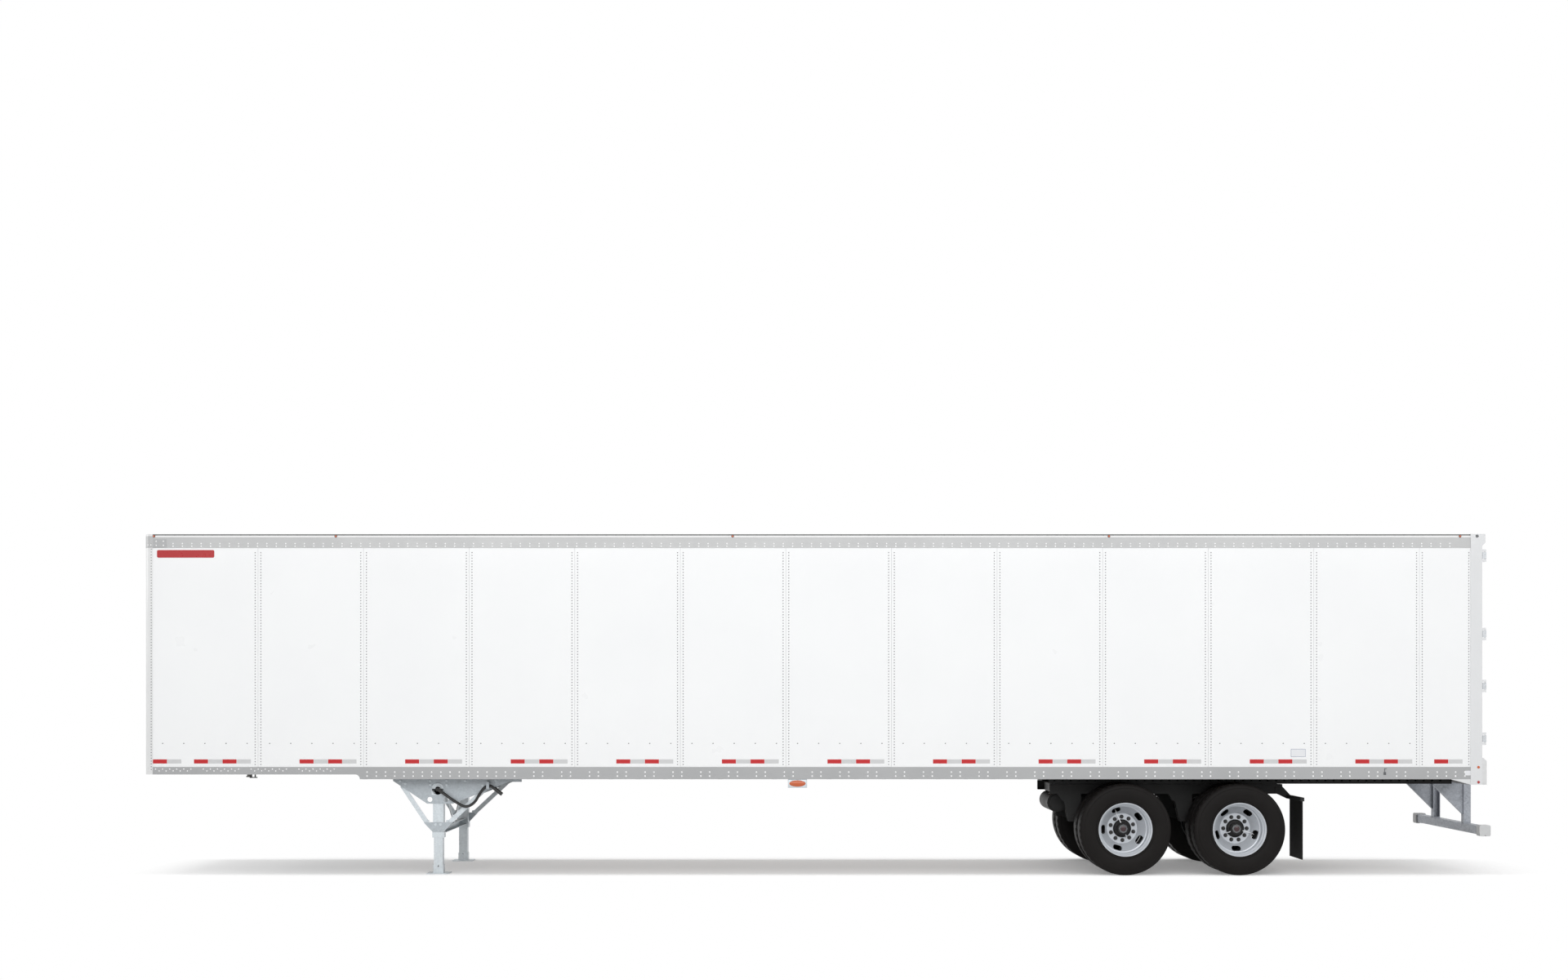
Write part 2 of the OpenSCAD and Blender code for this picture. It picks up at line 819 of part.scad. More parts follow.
// rubber bellows with a waist, on its seat
module air_spring() {
    spring_h = slider_low - spring_low;
    bead_r = spring_r - 30;
    cylinder(h = 12, r = bead_r);
    translate([0, 0, 11]) cylinder(h = spring_h * 0.35, r = bead_r - 10);
    translate([0, 0, spring_h * 0.35]) cylinder(h = spring_h * 0.6, r = spring_r);
    cylinder(h = spring_h, r = bead_r - 12);
}

module air_springs() {
    color("black") both_sides() for (x = axle_x)
        translate([x + spring_back, hanger_y, spring_low]) air_spring();
}

shock_y = frame_in - 60;
shock_back = 115;
module shock_absorbers() {
    low = tyre_r + 56;
    high = slider_low - 30;
    body = (high - low) * 0.55;
    color("black") both_sides() for (x = axle_x) translate([x + shock_back, shock_y, 0]) {
        translate([0, 0, low]) cylinder(h = body, r = 30);
        translate([0, 0, low + body]) cylinder(h = high - low - body, r = 16);
        block([-18, -30, low - 36], [18, hanger_y - arm_w / 2 - shock_y, low]);
        block([-18, -20, high], [18, frame_in + 30 - shock_y, slider_low]);
    }
}

pair_in = track_half - dual_spacing / 2;
pair_out = track_half + dual_spacing / 2;
disc_t = 11;
hub_face = track_half - disc_t - fit;
drum_in = hub_face - 18 - 210;
shield_out = drum_in - 15;
spindle_end = track_half + 50;
module axles() {
    color("dimgray") for (x = axle_x) {
        cross_bar(x, tyre_r, axle_r, -shield_out, shield_out);
        both_sides() {
            cross_bar(x, tyre_r, drum_r - 25, shield_out - 10, shield_out);
            cross_bar(x, tyre_r, spindle_r + 12, shield_out - 1, hub_face - 100);
            cross_bar(x, tyre_r, spindle_r, shield_out - 1, spindle_end);
        }
    }
}

chamber_y = 400;
module brake_chambers() {
    color("black") both_sides() for (x = axle_x) translate([x, chamber_y, tyre_r + 30]) {
        translate([-330, 0, 0]) rotate([0, 90, 0]) cylinder(h = 100, r = 82);
        translate([-231, 0, 0]) rotate([0, 90, 0]) cylinder(h = 12, r = 92);
        translate([-220, 0, 0]) rotate([0, 90, 0]) cylinder(h = 90, r = 78);
        block([-131, -40, -75], [-axle_r - fit, 40, 15]);
    }
}

tank_r = 118;
module air_tanks() {
    tank_z = slider_low - fit - tank_r;
    color("black") for (i = [0:1]) translate([tandem_x + cross_x[i], 0, tank_z])
        both_sides() {
            rotate([90, 0, 0]) cylinder(h = 380, r = tank_r);
            rotate([90, 0, 0]) cylinder(h = 405, r = tank_r - 22);
        }
}

flap_x = tandem_x + 1435;
flap_bar = 45;
flap_top = slider_low - 57;
flap_out = half_w - 8;
module mud_flap_hangers() {
    color("dimgray") both_sides() {
        block([flap_x - flap_bar / 2, frame_out + 1, flap_top],
            [flap_x + flap_bar / 2, flap_out, flap_top + flap_bar]);
        side_plate(frame_out, frame_out + 10)
            polygon([[slider_rear_x - 90, slider_low + 10], [slider_rear_x - 90, slider_top - 30],
                [slider_rear_x, slider_top - 30], [flap_x + flap_bar / 2, flap_top + flap_bar],
                [flap_x + flap_bar / 2, flap_top], [flap_x - flap_bar / 2, flap_top]]);
    }
}

module mud_flaps() {
    flap_t = 8;
    color("black") both_sides()
        block([flap_x - flap_t / 2, flap_out - flap_w, flap_top - flap_h],
            [flap_x + flap_t / 2, flap_out, flap_top]);
}

// ---- wheels, built round the Z axis with the outer side up ----

bulge = (tyre_w - rim_w) / 2 - fit;
side_mid = (tyre_r + rim_r) / 2 - 6;
side_half = side_mid - rim_r - flange_h - fit;
function sidewall(a) = [side_mid + side_half * sin(a), tyre_w / 2 - bulge * (1 - cos(a))];
module tyre_half_section() {
    side = [for (a = [-90:15:75]) sidewall(a)];
    polygon(concat([[rim_r + fit, -1], [rim_r + fit, rim_w / 2 - fit]], side,
        [[tyre_r - 12, tyre_w / 2 - 30], [tyre_r - 4, tyre_w / 2 - 38],
        [tyre_r, tyre_w / 2 - 50], [tyre_r, -1]]));
}

module tyre() {
    rotate_extrude() {
        tyre_half_section();
        mirror([0, 1]) tyre_half_section();
    }
}

// rim with its dished disc, whose mounting face lies at -dual_spacing / 2
disc_r = 190;
well_r = rim_r - 17.4;
// how much deeper the dish gets for each millimetre further out
dish_slope = (dual_spacing / 2 - 46 - disc_t) / (well_r - 20 - (disc_r - 6));
module rim_section() {
    half = rim_w / 2;
    top_r = rim_r + flange_h;
    face = -dual_spacing / 2;
    polygon([[top_r, -half - 9], [top_r, -half - 3], [rim_r, -half], [rim_r, -half + 34],
        [well_r, -half + 54], [well_r, half - 54], [rim_r, half - 34], [rim_r, half],
        [top_r, half + 3], [top_r, half + 9], [top_r - 7, half + 9], [rim_r - 6.4, half - 6],
        [rim_r - 6.4, half - 31], [well_r - 7, half - 50], [well_r - 7, -half + 50],
        [rim_r - 6.4, -half + 31], [rim_r - 6.4, -half + 6], [top_r - 7, -half - 9]]);
    polygon([[110, face], [disc_r, face], [well_r - 4, -60], [well_r - 4, -40],
        [well_r - 20, -46], [disc_r - 6, face + disc_t], [110, face + disc_t]]);
}

module hand_hole() {
    end_r = 29;
    half_run = 27;
    centre_r = 239;
    translate([centre_r, 0, -dual_spacing / 2 - 10]) {
        for (s = [-1, 1]) translate([0, s * half_run, 0]) cylinder(h = 150, r = end_r);
        translate([-end_r, -half_run, 0]) cube([2 * end_r, 2 * half_run, 150]);
    }
}

// angle of the first hand hole on each axle's wheels
hole_turn = [38, 54];
module rim(turn) {
    difference() {
        rotate_extrude() rim_section();
        for (i = [0:4]) rotate(i * 72 + turn) hand_hole();
    }
}

// hub, drum and hub cap, with Z = 0 at the plane where the two discs meet
module hub_section() {
    bore = spindle_r + fit;
    face = -disc_t - fit;
    web = face - 18;
    inner = drum_in - track_half;
    shell = 20;
    flat_r = disc_r - 12;
    shoulder = face - (drum_r - flat_r) * dish_slope;
    cap_z = spindle_end - track_half + clear;
    polygon([[bore, web - 74], [106, web - 74], [106, web], [flat_r - shell, web],
        [drum_r - shell, shoulder - 14], [drum_r - shell, inner], [drum_r, inner],
        [drum_r, shoulder], [flat_r, face], [107, face], [107, 30], [92, 40], [78, 44],
        [78, 96], [66, 106], [0, 106], [0, cap_z], [bore, cap_z]]);
}

module place_wheel(i, side) {
    translate([axle_x[i], side * track_half, tyre_r]) rotate([-90 * side, 0, 0]) children();
}

module tyre_pair(i, side) {
    color("black") place_wheel(i, side) for (s = [-1, 1])
        translate([0, 0, s * dual_spacing / 2]) tyre();
}

module rim_pair(i, side) {
    color("silver") place_wheel(i, side) {
        translate([0, 0, dual_spacing / 2]) rim(hole_turn[i]);
        translate([0, 0, -fit]) mirror([0, 0, 1]) translate([0, 0, dual_spacing / 2])
            rim(hole_turn[i]);
    }
}

module hub(i, side) {
    color("dimgray") place_wheel(i, side) rotate_extrude() hub_section();
}

module tyres_front_left() { tyre_pair(0, -1); }
module rims_front_left() { rim_pair(0, -1); }
module hub_front_left() { hub(0, -1); }
module tyres_front_right() { tyre_pair(0, 1); }
module rims_front_right() { rim_pair(0, 1); }
module hub_front_right() { hub(0, 1); }
module tyres_rear_left() { tyre_pair(1, -1); }
module rims_rear_left() { rim_pair(1, -1); }
module hub_rear_left() { hub(1, -1); }
module tyres_rear_right() { tyre_pair(1, 1); }
module rims_rear_right() { rim_pair(1, 1); }
module hub_rear_right() { hub(1, 1); }

// ---- doors, drawn on the right and mirrored for the left ----

door_low = floor_top + door_gap;
door_high = header_low - door_gap;
door_edge = 8;
door_out = post_in - clear;
strap_len = 330;

module door() {
    block([door_front_x, door_edge, door_low], [door_rear_x, door_out, door_high]);
}

// one hinge strap: knuckle, arm over the post, and leaf on the door
module hinge_strap(z) {
    arm_x = pin_x - 35;
    drop_y = post_in - 16.5;
    ear = ear_h + clear;
    difference() {
        union() {
            block([arm_x, drop_y, z + ear], [arm_x + 10, pin_y, z + hinge_h - ear]);
            block([door_rear_x, drop_y - 10, z], [arm_x + 10, drop_y, z + hinge_h]);
            block([door_rear_x, pin_y - strap_len, z], [door_rear_x + 8, drop_y - 5, z + hinge_h]);
            block([arm_x, pin_y - knuckle_r + 4, z + ear],
                [pin_x, pin_y + knuckle_r - 4, z + hinge_h - ear]);
            translate([pin_x, pin_y, z + ear])
                cylinder(h = hinge_h - 2 * ear, r = knuckle_r);
        }
        translate([pin_x, pin_y, z]) cylinder(h = hinge_h, r = hinge_pin_r + fit);
    }
}

rod_x = door_rear_x + 22;
rod_y = rod_edge;
handle_z = floor_top + 560;
module lock_rod() {
    low = floor_top - 55;
    high = header_low + 55;
    guide = 46;
    translate([rod_x, rod_y, low]) cylinder(h = high - low, r = rod_r);
    for (z = [low, high - 22])
        block([rod_x - 8, rod_y - 22, z], [rod_x + 10, rod_y + 22, z + 22]);
    for (z = [door_low + 60, door_low + 900, door_high - 900, door_high - 60 - guide])
        block([door_rear_x, rod_y - 42, z], [rod_x + 16, rod_y + 42, z + guide]);
    block([rod_x - 8, rod_y, handle_z], [rod_x + 8, rod_y + 480, handle_z + 34]);
    block([door_rear_x, rod_y + 400, handle_z - 20], [rod_x + 12, rod_y + 450, handle_z + 54]);
    block([door_rear_x, rod_y - 42, handle_z - 20], [rod_x + 16, rod_y + 42, handle_z + 54]);
}

module door_hardware() {
    for (z = hinge_z) hinge_strap(z);
    lock_rod();
}

module right_door() {
    color("white") door();
}

module right_door_hardware() {
    color("silver") door_hardware();
}

module left_door() {
    color("white") mirror([0, 1, 0]) door();
}

module left_door_hardware() {
    color("silver") mirror([0, 1, 0]) door_hardware();
}

floor_boards();  // floor
crossmembers();
left_wall();
right_wall();
wall_posts();
bottom_rails();
top_rails();
front_wall();
front_frame();
roof();
roof_bows();
coupler_plate();
kingpin();
rear_frame();
bumper_blocks();
rear_lamps();
side_lamps();
underride_guard();
guard_end_caps();
slider_rails();
landing_legs();
landing_gear_plates();
landing_gear_braces();
landing_gear_crank();
nose_box();
slider_frame();
suspension_hangers();
trailing_arms();
air_springs();
shock_absorbers();
axles();
brake_chambers();
air_tanks();
mud_flap_hangers();
mud_flaps();
tyres_front_left();
rims_front_left();
hub_front_left();
tyres_front_right();
rims_front_right();
hub_front_right();
tyres_rear_left();
rims_rear_left();
hub_rear_left();
tyres_rear_right();
rims_rear_right();
hub_rear_right();
left_door();
left_door_hardware();
right_door();
right_door_hardware();
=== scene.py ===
import json
import math

import bmesh
import bpy
from mathutils import Matrix, Vector


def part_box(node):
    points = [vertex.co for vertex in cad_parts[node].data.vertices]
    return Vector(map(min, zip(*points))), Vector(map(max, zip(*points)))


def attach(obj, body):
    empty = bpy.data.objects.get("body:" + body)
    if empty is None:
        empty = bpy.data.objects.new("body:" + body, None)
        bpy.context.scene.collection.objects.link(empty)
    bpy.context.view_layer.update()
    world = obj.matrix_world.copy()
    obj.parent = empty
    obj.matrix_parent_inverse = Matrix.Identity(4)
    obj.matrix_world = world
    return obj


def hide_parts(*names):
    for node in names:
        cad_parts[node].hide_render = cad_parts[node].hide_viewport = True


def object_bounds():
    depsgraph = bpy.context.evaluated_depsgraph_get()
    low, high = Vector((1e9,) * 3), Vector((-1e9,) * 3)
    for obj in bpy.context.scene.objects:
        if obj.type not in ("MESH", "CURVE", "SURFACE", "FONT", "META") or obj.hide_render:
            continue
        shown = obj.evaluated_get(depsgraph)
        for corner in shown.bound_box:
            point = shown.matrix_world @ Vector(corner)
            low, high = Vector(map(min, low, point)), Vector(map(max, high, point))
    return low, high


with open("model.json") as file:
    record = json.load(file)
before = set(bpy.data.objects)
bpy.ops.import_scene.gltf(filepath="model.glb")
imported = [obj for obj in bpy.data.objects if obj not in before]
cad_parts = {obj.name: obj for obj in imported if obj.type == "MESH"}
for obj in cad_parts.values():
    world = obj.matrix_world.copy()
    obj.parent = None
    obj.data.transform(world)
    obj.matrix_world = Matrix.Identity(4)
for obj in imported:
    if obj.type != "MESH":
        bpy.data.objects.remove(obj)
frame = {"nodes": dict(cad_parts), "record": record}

CAD_BOX = [list(corner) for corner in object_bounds()]
MM = 0.001
LEFT, RIGHT = -1, 1


# ---- places taken from the frame ----

def low(node):
    return Vector(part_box(node)[0])


def high(node):
    return Vector(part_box(node)[1])


NOSE_X, TAIL_X = CAD_BOX[0][0], high("bumper_blocks").x
HALF_W = CAD_BOX[1][1]
ROOF_Z = CAD_BOX[1][2]
SIDE_FRONT_X, SIDE_REAR_X = low("bottom_rails").x, high("bottom_rails").x
RAIL_Y = high("bottom_rails").y
PANEL_Y = high("right_wall").y
BEAM_TOP = high("crossmembers").z
FLOOR_TOP = high("floor").z
RAIL_TOP, RAIL_LOW = high("bottom_rails").z, low("bottom_rails").z
TOP_RAIL_LOW = ROOF_Z - 168 * MM
COUPLER_Z = low("coupler_plate").z
STEP_X = high("coupler_plate").x
LEG_X = (low("landing_legs").x + high("landing_legs").x) / 2
LEG_FACE = high("landing_gear_braces").y + 8 * MM
POST_HALF = 50 * MM
FIRST_SEAM = low("wall_posts").x + POST_HALF
LAST_SEAM = high("wall_posts").x - POST_HALF
SEAMS = 12
PITCH = (LAST_SEAM - FIRST_SEAM) / (SEAMS - 1)
WHEELS = ["front_left", "front_right", "rear_left", "rear_right"]
WHEEL_MIDDLE = (low("rims_front_right").y + high("rims_front_right").y) / 2
# how far round each axle's hand holes stand, in degrees
HOLE_TURN = {"front": 38, "rear": 54}
# where the inflation tubes go round each axle's wheels, in degrees
TUBE_TURNS = {"front": (110, -65), "rear": (-18, 205)}


# ---- camera, light and floor ----

def make_camera():
    data = bpy.data.cameras.new("camera")
    data.lens = 45.8
    data.sensor_width = 36.0
    data.shift_y = 0.130
    data.clip_end = 500
    camera = bpy.data.objects.new("camera", data)
    camera.location = (-0.4065, -HALF_W - 24.0, 2.19)
    camera.rotation_euler = (math.radians(90), 0, 0)
    bpy.context.collection.objects.link(camera)
    bpy.context.scene.camera = camera


def area_light(name, place, aim, size, power):
    data = bpy.data.lights.new(name, "AREA")
    data.shape = "RECTANGLE"
    data.size, data.size_y = size
    data.energy = power
    lamp = bpy.data.objects.new(name, data)
    lamp.location = place
    lamp.rotation_euler = (Vector(aim) - Vector(place)).to_track_quat("-Z", "Y").to_euler()
    bpy.context.collection.objects.link(lamp)
    return lamp


def add_node(tree, kind, **settings):
    made = tree.nodes.new(kind)
    for name, value in settings.items():
        setattr(made, name, value)
    return made


def math_node(tree, operation, first, second=None, clamp=False):
    made = add_node(tree, "ShaderNodeMath", operation=operation, use_clamp=clamp)
    for socket, value in zip(made.inputs, (first, second)):
        if value is None:
            continue
        if isinstance(value, (int, float)):
            socket.default_value = value
        else:
            tree.links.new(value, socket)
    return made.outputs[0]


def seen_directly(tree):
    """1 where the camera, a mirror or glass looks straight at the backdrop."""
    path = tree.nodes.new("ShaderNodeLightPath")
    first = math_node(tree, "MAXIMUM", path.outputs["Is Camera Ray"], path.outputs["Is Glossy Ray"])
    return math_node(tree, "MAXIMUM", first, path.outputs["Is Transmission Ray"])


def make_world():
    world = bpy.data.worlds.new("studio")
    bpy.context.scene.world = world
    world.use_nodes = True
    tree = world.node_tree
    background = tree.nodes["Background"]
    background.inputs["Color"].default_value = (1, 1, 1, 1)
    lit, shown = 0.75, 1.0
    strength = math_node(tree, "MULTIPLY", seen_directly(tree), shown - lit)
    strength = math_node(tree, "ADD", strength, lit)
    tree.links.new(strength, background.inputs["Strength"])


def make_floor():
    form = bmesh.new()
    bmesh.ops.create_grid(form, x_segments=1, y_segments=1, size=200)
    bmesh.ops.translate(form, verts=form.verts, vec=(0, 0, -1 * MM))
    mesh = bpy.data.meshes.new("floor_sheet")
    form.to_mesh(mesh)
    floor = bpy.data.objects.new("floor_sheet", mesh)
    bpy.context.collection.objects.link(floor)
    material = bpy.data.materials.new("studio_floor")
    material.use_nodes = True
    tree = material.node_tree
    bounce = tree.nodes["Principled BSDF"]
    bounce.inputs["Base Color"].default_value = (0.45, 0.45, 0.45, 1)
    bounce.inputs["Roughness"].default_value = 0.9
    bounce.inputs["Specular IOR Level"].default_value = 0.1
    # what the camera sees: a pale sheet that only a deep shade darkens
    matt = tree.nodes.new("ShaderNodeBsdfDiffuse")
    matt.inputs["Color"].default_value = (0.92, 0.92, 0.92, 1)
    glow = tree.nodes.new("ShaderNodeEmission")
    glow.inputs["Strength"].default_value = 0.20
    shaded = tree.nodes.new("ShaderNodeAddShader")
    tree.links.new(matt.outputs[0], shaded.inputs[0])
    tree.links.new(glow.outputs[0], shaded.inputs[1])
    # away from the trailer the sheet fades into the white backdrop
    coords = tree.nodes.new("ShaderNodeTexCoord")
    parts = tree.nodes.new("ShaderNodeSeparateXYZ")
    tree.links.new(coords.outputs["Object"], parts.inputs[0])
    beside = math_node(tree, "SUBTRACT", math_node(tree, "ABSOLUTE", parts.outputs["Y"]), 1.02)
    along = math_node(tree, "SUBTRACT", parts.outputs["X"], 0.3)
    beyond = math_node(tree, "SUBTRACT", math_node(tree, "ABSOLUTE", along), 8.0)
    away = math_node(tree, "MAXIMUM", math_node(tree, "MAXIMUM", beside, beyond), 0.0)
    fade = math_node(tree, "MULTIPLY", away, 1.4, clamp=True)
    white = tree.nodes.new("ShaderNodeEmission")
    shown = tree.nodes.new("ShaderNodeMixShader")
    tree.links.new(fade, shown.inputs[0])
    tree.links.new(shaded.outputs[0], shown.inputs[1])
    tree.links.new(white.outputs[0], shown.inputs[2])
    mixed = tree.nodes.new("ShaderNodeMixShader")
    tree.links.new(seen_directly(tree), mixed.inputs[0])
    tree.links.new(bounce.outputs[0], mixed.inputs[1])
    tree.links.new(shown.outputs[0], mixed.inputs[2])
    tree.links.new(mixed.outputs[0], tree.nodes["Material Output"].inputs["Surface"])
    floor.data.materials.append(material)
    overhead = area_light("overhead", (-0.5, 0.1, 12), (-0.5, 0.1, 0), (12, 8), 1350)
    only_floor = bpy.data.collections.new("overhead_falls_on")
    only_floor.objects.link(floor)
    overhead.light_linking.receiver_collection = only_floor


# ---- finishes ----

def node_group(name, inputs, outputs):
    tree = bpy.data.node_groups.new(name, "ShaderNodeTree")
    for label, kind, value in inputs:
        socket = tree.interface.new_socket(label, in_out="INPUT", socket_type=kind)
        socket.default_value = value
    for label, kind in outputs:
        tree.interface.new_socket(label, in_out="OUTPUT", socket_type=kind)
    return tree, tree.nodes.new("NodeGroupInput"), tree.nodes.new("NodeGroupOutput")


FLOAT, COLOUR, VECTOR = "NodeSocketFloat", "NodeSocketColor", "NodeSocketVector"


def object_place(tree, stretch=None):
    coords = tree.nodes.new("ShaderNodeTexCoord").outputs["Object"]
    if stretch is None:
        return coords
    scaled = add_node(tree, "ShaderNodeVectorMath", operation="MULTIPLY")
    tree.links.new(coords, scaled.inputs[0])
    tree.links.new(stretch, scaled.inputs[1])
    return scaled.outputs[0]


def noise(tree, place, scale, detail=3.0):
    made = tree.nodes.new("ShaderNodeTexNoise")
    made.inputs["Detail"].default_value = detail
    tree.links.new(place, made.inputs["Vector"])
    if isinstance(scale, (int, float)):
        made.inputs["Scale"].default_value = scale
    else:
        tree.links.new(scale, made.inputs["Scale"])
    return made.outputs[0]


def mix_colour(tree, factor, first, second):
    made = add_node(tree, "ShaderNodeMix", data_type="RGBA")
    tree.links.new(factor, made.inputs["Factor"])
    for socket, value in ((made.inputs[6], first), (made.inputs[7], second)):
        if isinstance(value, tuple):
            socket.default_value = value
        else:
            tree.links.new(value, socket)
    return made.outputs[2]


def make_grain_group():
    """Cloudy colour, uneven gloss and a fine surface grain, stretched along the trailer if asked."""
    tree, given, out = node_group(
        "surface_grain",
        [("Colour", COLOUR, (0.5, 0.5, 0.5, 1)), ("Cloud colour", COLOUR, (0.4, 0.4, 0.4, 1)),
         ("Cloud scale", FLOAT, 2.0), ("Cloud amount", FLOAT, 0.3), ("Roughness", FLOAT, 0.4),
         ("Roughness spread", FLOAT, 0.1), ("Grain scale", FLOAT, 60.0),
         ("Stretch", VECTOR, (1, 1, 1))],
        [("Colour", COLOUR), ("Roughness", FLOAT), ("Height", FLOAT)])
    clouds = noise(tree, object_place(tree), given.outputs["Cloud scale"], 4.0)
    fine = noise(tree, object_place(tree, given.outputs["Stretch"]), given.outputs["Grain scale"])
    spread = math_node(tree, "MULTIPLY", math_node(tree, "SUBTRACT", clouds, 0.32), 2.6, clamp=True)
    factor = math_node(tree, "MULTIPLY", spread, given.outputs["Cloud amount"])
    colour = mix_colour(tree, factor, given.outputs["Colour"], given.outputs["Cloud colour"])
    uneven = math_node(tree, "SUBTRACT", math_node(tree, "ADD", fine, clouds), 1.0)
    rough = math_node(tree, "MULTIPLY", uneven, given.outputs["Roughness spread"])
    rough = math_node(tree, "ADD", rough, given.outputs["Roughness"], clamp=True)
    tree.links.new(colour, out.inputs["Colour"])
    tree.links.new(rough, out.inputs["Roughness"])
    tree.links.new(fine, out.inputs["Height"])
    return tree


def make_dust_group():
    """Road dust that gathers low down and thins out with height."""
    tree, given, out = node_group(
        "road_dust",
        [("Colour", COLOUR, (0.5, 0.5, 0.5, 1)), ("Dust colour", COLOUR, (0.24, 0.21, 0.18, 1)),
         ("Reach", FLOAT, 1.4), ("Amount", FLOAT, 0.2)],
        [("Colour", COLOUR), ("Mask", FLOAT)])
    place = object_place(tree)
    parts = tree.nodes.new("ShaderNodeSeparateXYZ")
    tree.links.new(place, parts.inputs[0])
    rise = math_node(tree, "DIVIDE", parts.outputs["Z"], given.outputs["Reach"])
    fall = math_node(tree, "SUBTRACT", 1.0, rise, clamp=True)
    cloud = math_node(tree, "MULTIPLY", noise(tree, place, 7.0, 6.0), 1.6)
    mask = math_node(tree, "MULTIPLY", math_node(tree, "MULTIPLY", fall, cloud),
                     given.outputs["Amount"], clamp=True)
    colour = mix_colour(tree, mask, given.outputs["Colour"], given.outputs["Dust colour"])
    tree.links.new(colour, out.inputs["Colour"])
    tree.links.new(mask, out.inputs["Mask"])
    return tree


def make_inner_shade_group():
    """Painted shade, with some brake dust, on everything nearer the trailer's middle than a plane across each
    side: a near-black colour that darkens the wheels' inner side as shade would.
    """
    tree, given, out = node_group(
        "brake_dust_and_painted_shade",
        # the near-black Dust colour here stands for painted shade as well as brake dust
        [("Colour", COLOUR, (0.5, 0.5, 0.5, 1)), ("Dust colour", COLOUR, (0.03, 0.028, 0.026, 1)),
         ("Plane", FLOAT, 1.0), ("Amount", FLOAT, 0.0)],
        [("Colour", COLOUR), ("Mask", FLOAT)])
    place = object_place(tree)
    parts = tree.nodes.new("ShaderNodeSeparateXYZ")
    tree.links.new(place, parts.inputs[0])
    across = math_node(tree, "ABSOLUTE", parts.outputs["Y"])
    inward = math_node(tree, "SUBTRACT", given.outputs["Plane"], across)
    edge = math_node(tree, "MULTIPLY", inward, 90.0, clamp=True)
    cloud = math_node(tree, "ADD", math_node(tree, "MULTIPLY", noise(tree, place, 11.0, 5.0), 0.5),
                      0.6)
    mask = math_node(tree, "MULTIPLY", math_node(tree, "MULTIPLY", edge, cloud),
                     given.outputs["Amount"], clamp=True)
    colour = mix_colour(tree, mask, given.outputs["Colour"], given.outputs["Dust colour"])
    tree.links.new(colour, out.inputs["Colour"])
    tree.links.new(mask, out.inputs["Mask"])
    return tree


def make_spangle_group():
    """Zinc crystals of hot-dip galvanising."""
    tree, given, out = node_group(
        "zinc_spangle",
        [("Colour", COLOUR, (0.5, 0.5, 0.5, 1)), ("Dark colour", COLOUR, (0.35, 0.38, 0.4, 1)),
         ("Crystal scale", FLOAT, 60.0), ("Contrast", FLOAT, 0.5)],
        [("Colour", COLOUR), ("Roughness", FLOAT), ("Height", FLOAT)])
    place = object_place(tree)
    cells = add_node(tree, "ShaderNodeTexVoronoi", feature="F1")
    tree.links.new(place, cells.inputs["Vector"])
    tree.links.new(given.outputs["Crystal scale"], cells.inputs["Scale"])
    tone = tree.nodes.new("ShaderNodeSeparateColor")
    tree.links.new(cells.outputs["Color"], tone.inputs[0])
    runs = noise(tree, place, 9.0, 5.0)
    factor = math_node(tree, "MULTIPLY", tone.outputs[0], runs)
    factor = math_node(tree, "MULTIPLY", factor, given.outputs["Contrast"], clamp=True)
    colour = mix_colour(tree, factor, given.outputs["Colour"], given.outputs["Dark colour"])
    rough = math_node(tree, "ADD", math_node(tree, "MULTIPLY", tone.outputs[1], 0.22), 0.34)
    tree.links.new(colour, out.inputs["Colour"])
    tree.links.new(rough, out.inputs["Roughness"])
    tree.links.new(tone.outputs[2], out.inputs["Height"])
    return tree


def make_lens_group():
    """Fine square prisms moulded into a lamp lens or a reflective tape."""
    tree, given, out = node_group(
        "prism_ribs",
        [("Rib scale", FLOAT, 60.0), ("Colour", COLOUR, (1, 0, 0, 1)),
         ("Shade colour", COLOUR, (0.5, 0, 0, 1)), ("Depth", FLOAT, 0.5)],
        [("Colour", COLOUR), ("Height", FLOAT)])
    place = object_place(tree)
    waves = []
    for direction in ("X", "Z"):
        wave = add_node(tree, "ShaderNodeTexWave", bands_direction=direction)
        tree.links.new(place, wave.inputs["Vector"])
        tree.links.new(given.outputs["Rib scale"], wave.inputs["Scale"])
        waves.append(wave.outputs["Fac"])
    height = math_node(tree, "MULTIPLY", waves[0], waves[1])
    factor = math_node(tree, "MULTIPLY", math_node(tree, "SUBTRACT", 1.0, height),
                       given.outputs["Depth"], clamp=True)
    colour = mix_colour(tree, factor, given.outputs["Colour"], given.outputs["Shade colour"])
    tree.links.new(colour, out.inputs["Colour"])
    tree.links.new(height, out.inputs["Height"])
    return tree


GRAIN = make_grain_group()
DUST = make_dust_group()
INNER_SHADE = make_inner_shade_group()
SPANGLE = make_spangle_group()
PRISMS = make_lens_group()


def rgba(colour):
    return (*colour, 1.0)


def place_group(tree, group, **values):
    made = tree.nodes.new("ShaderNodeGroup")
    made.node_tree = group
    for name, value in values.items():
        socket = made.inputs[name.replace("_", " ").capitalize()]
        if hasattr(value, "is_output"):
            tree.links.new(value, socket)
        else:
            socket.default_value = value
    return made


def start_material(name, metallic, coat=0.0):
    material = bpy.data.materials.new(name)
    material.use_nodes = True
    tree = material.node_tree
    shader = tree.nodes["Principled BSDF"]
    shader.inputs["Metallic"].default_value = metallic
    shader.inputs["Coat Weight"].default_value = coat
    shader.inputs["Coat Roughness"].default_value = 0.08
    return material, tree, shader


def add_bump(tree, shader, height, strength, distance):
    bump = tree.nodes.new("ShaderNodeBump")
    bump.inputs["Strength"].default_value = strength
    bump.inputs["Distance"].default_value = distance
    tree.links.new(height, bump.inputs["Height"])
    tree.links.new(bump.outputs[0], shader.inputs["Normal"])


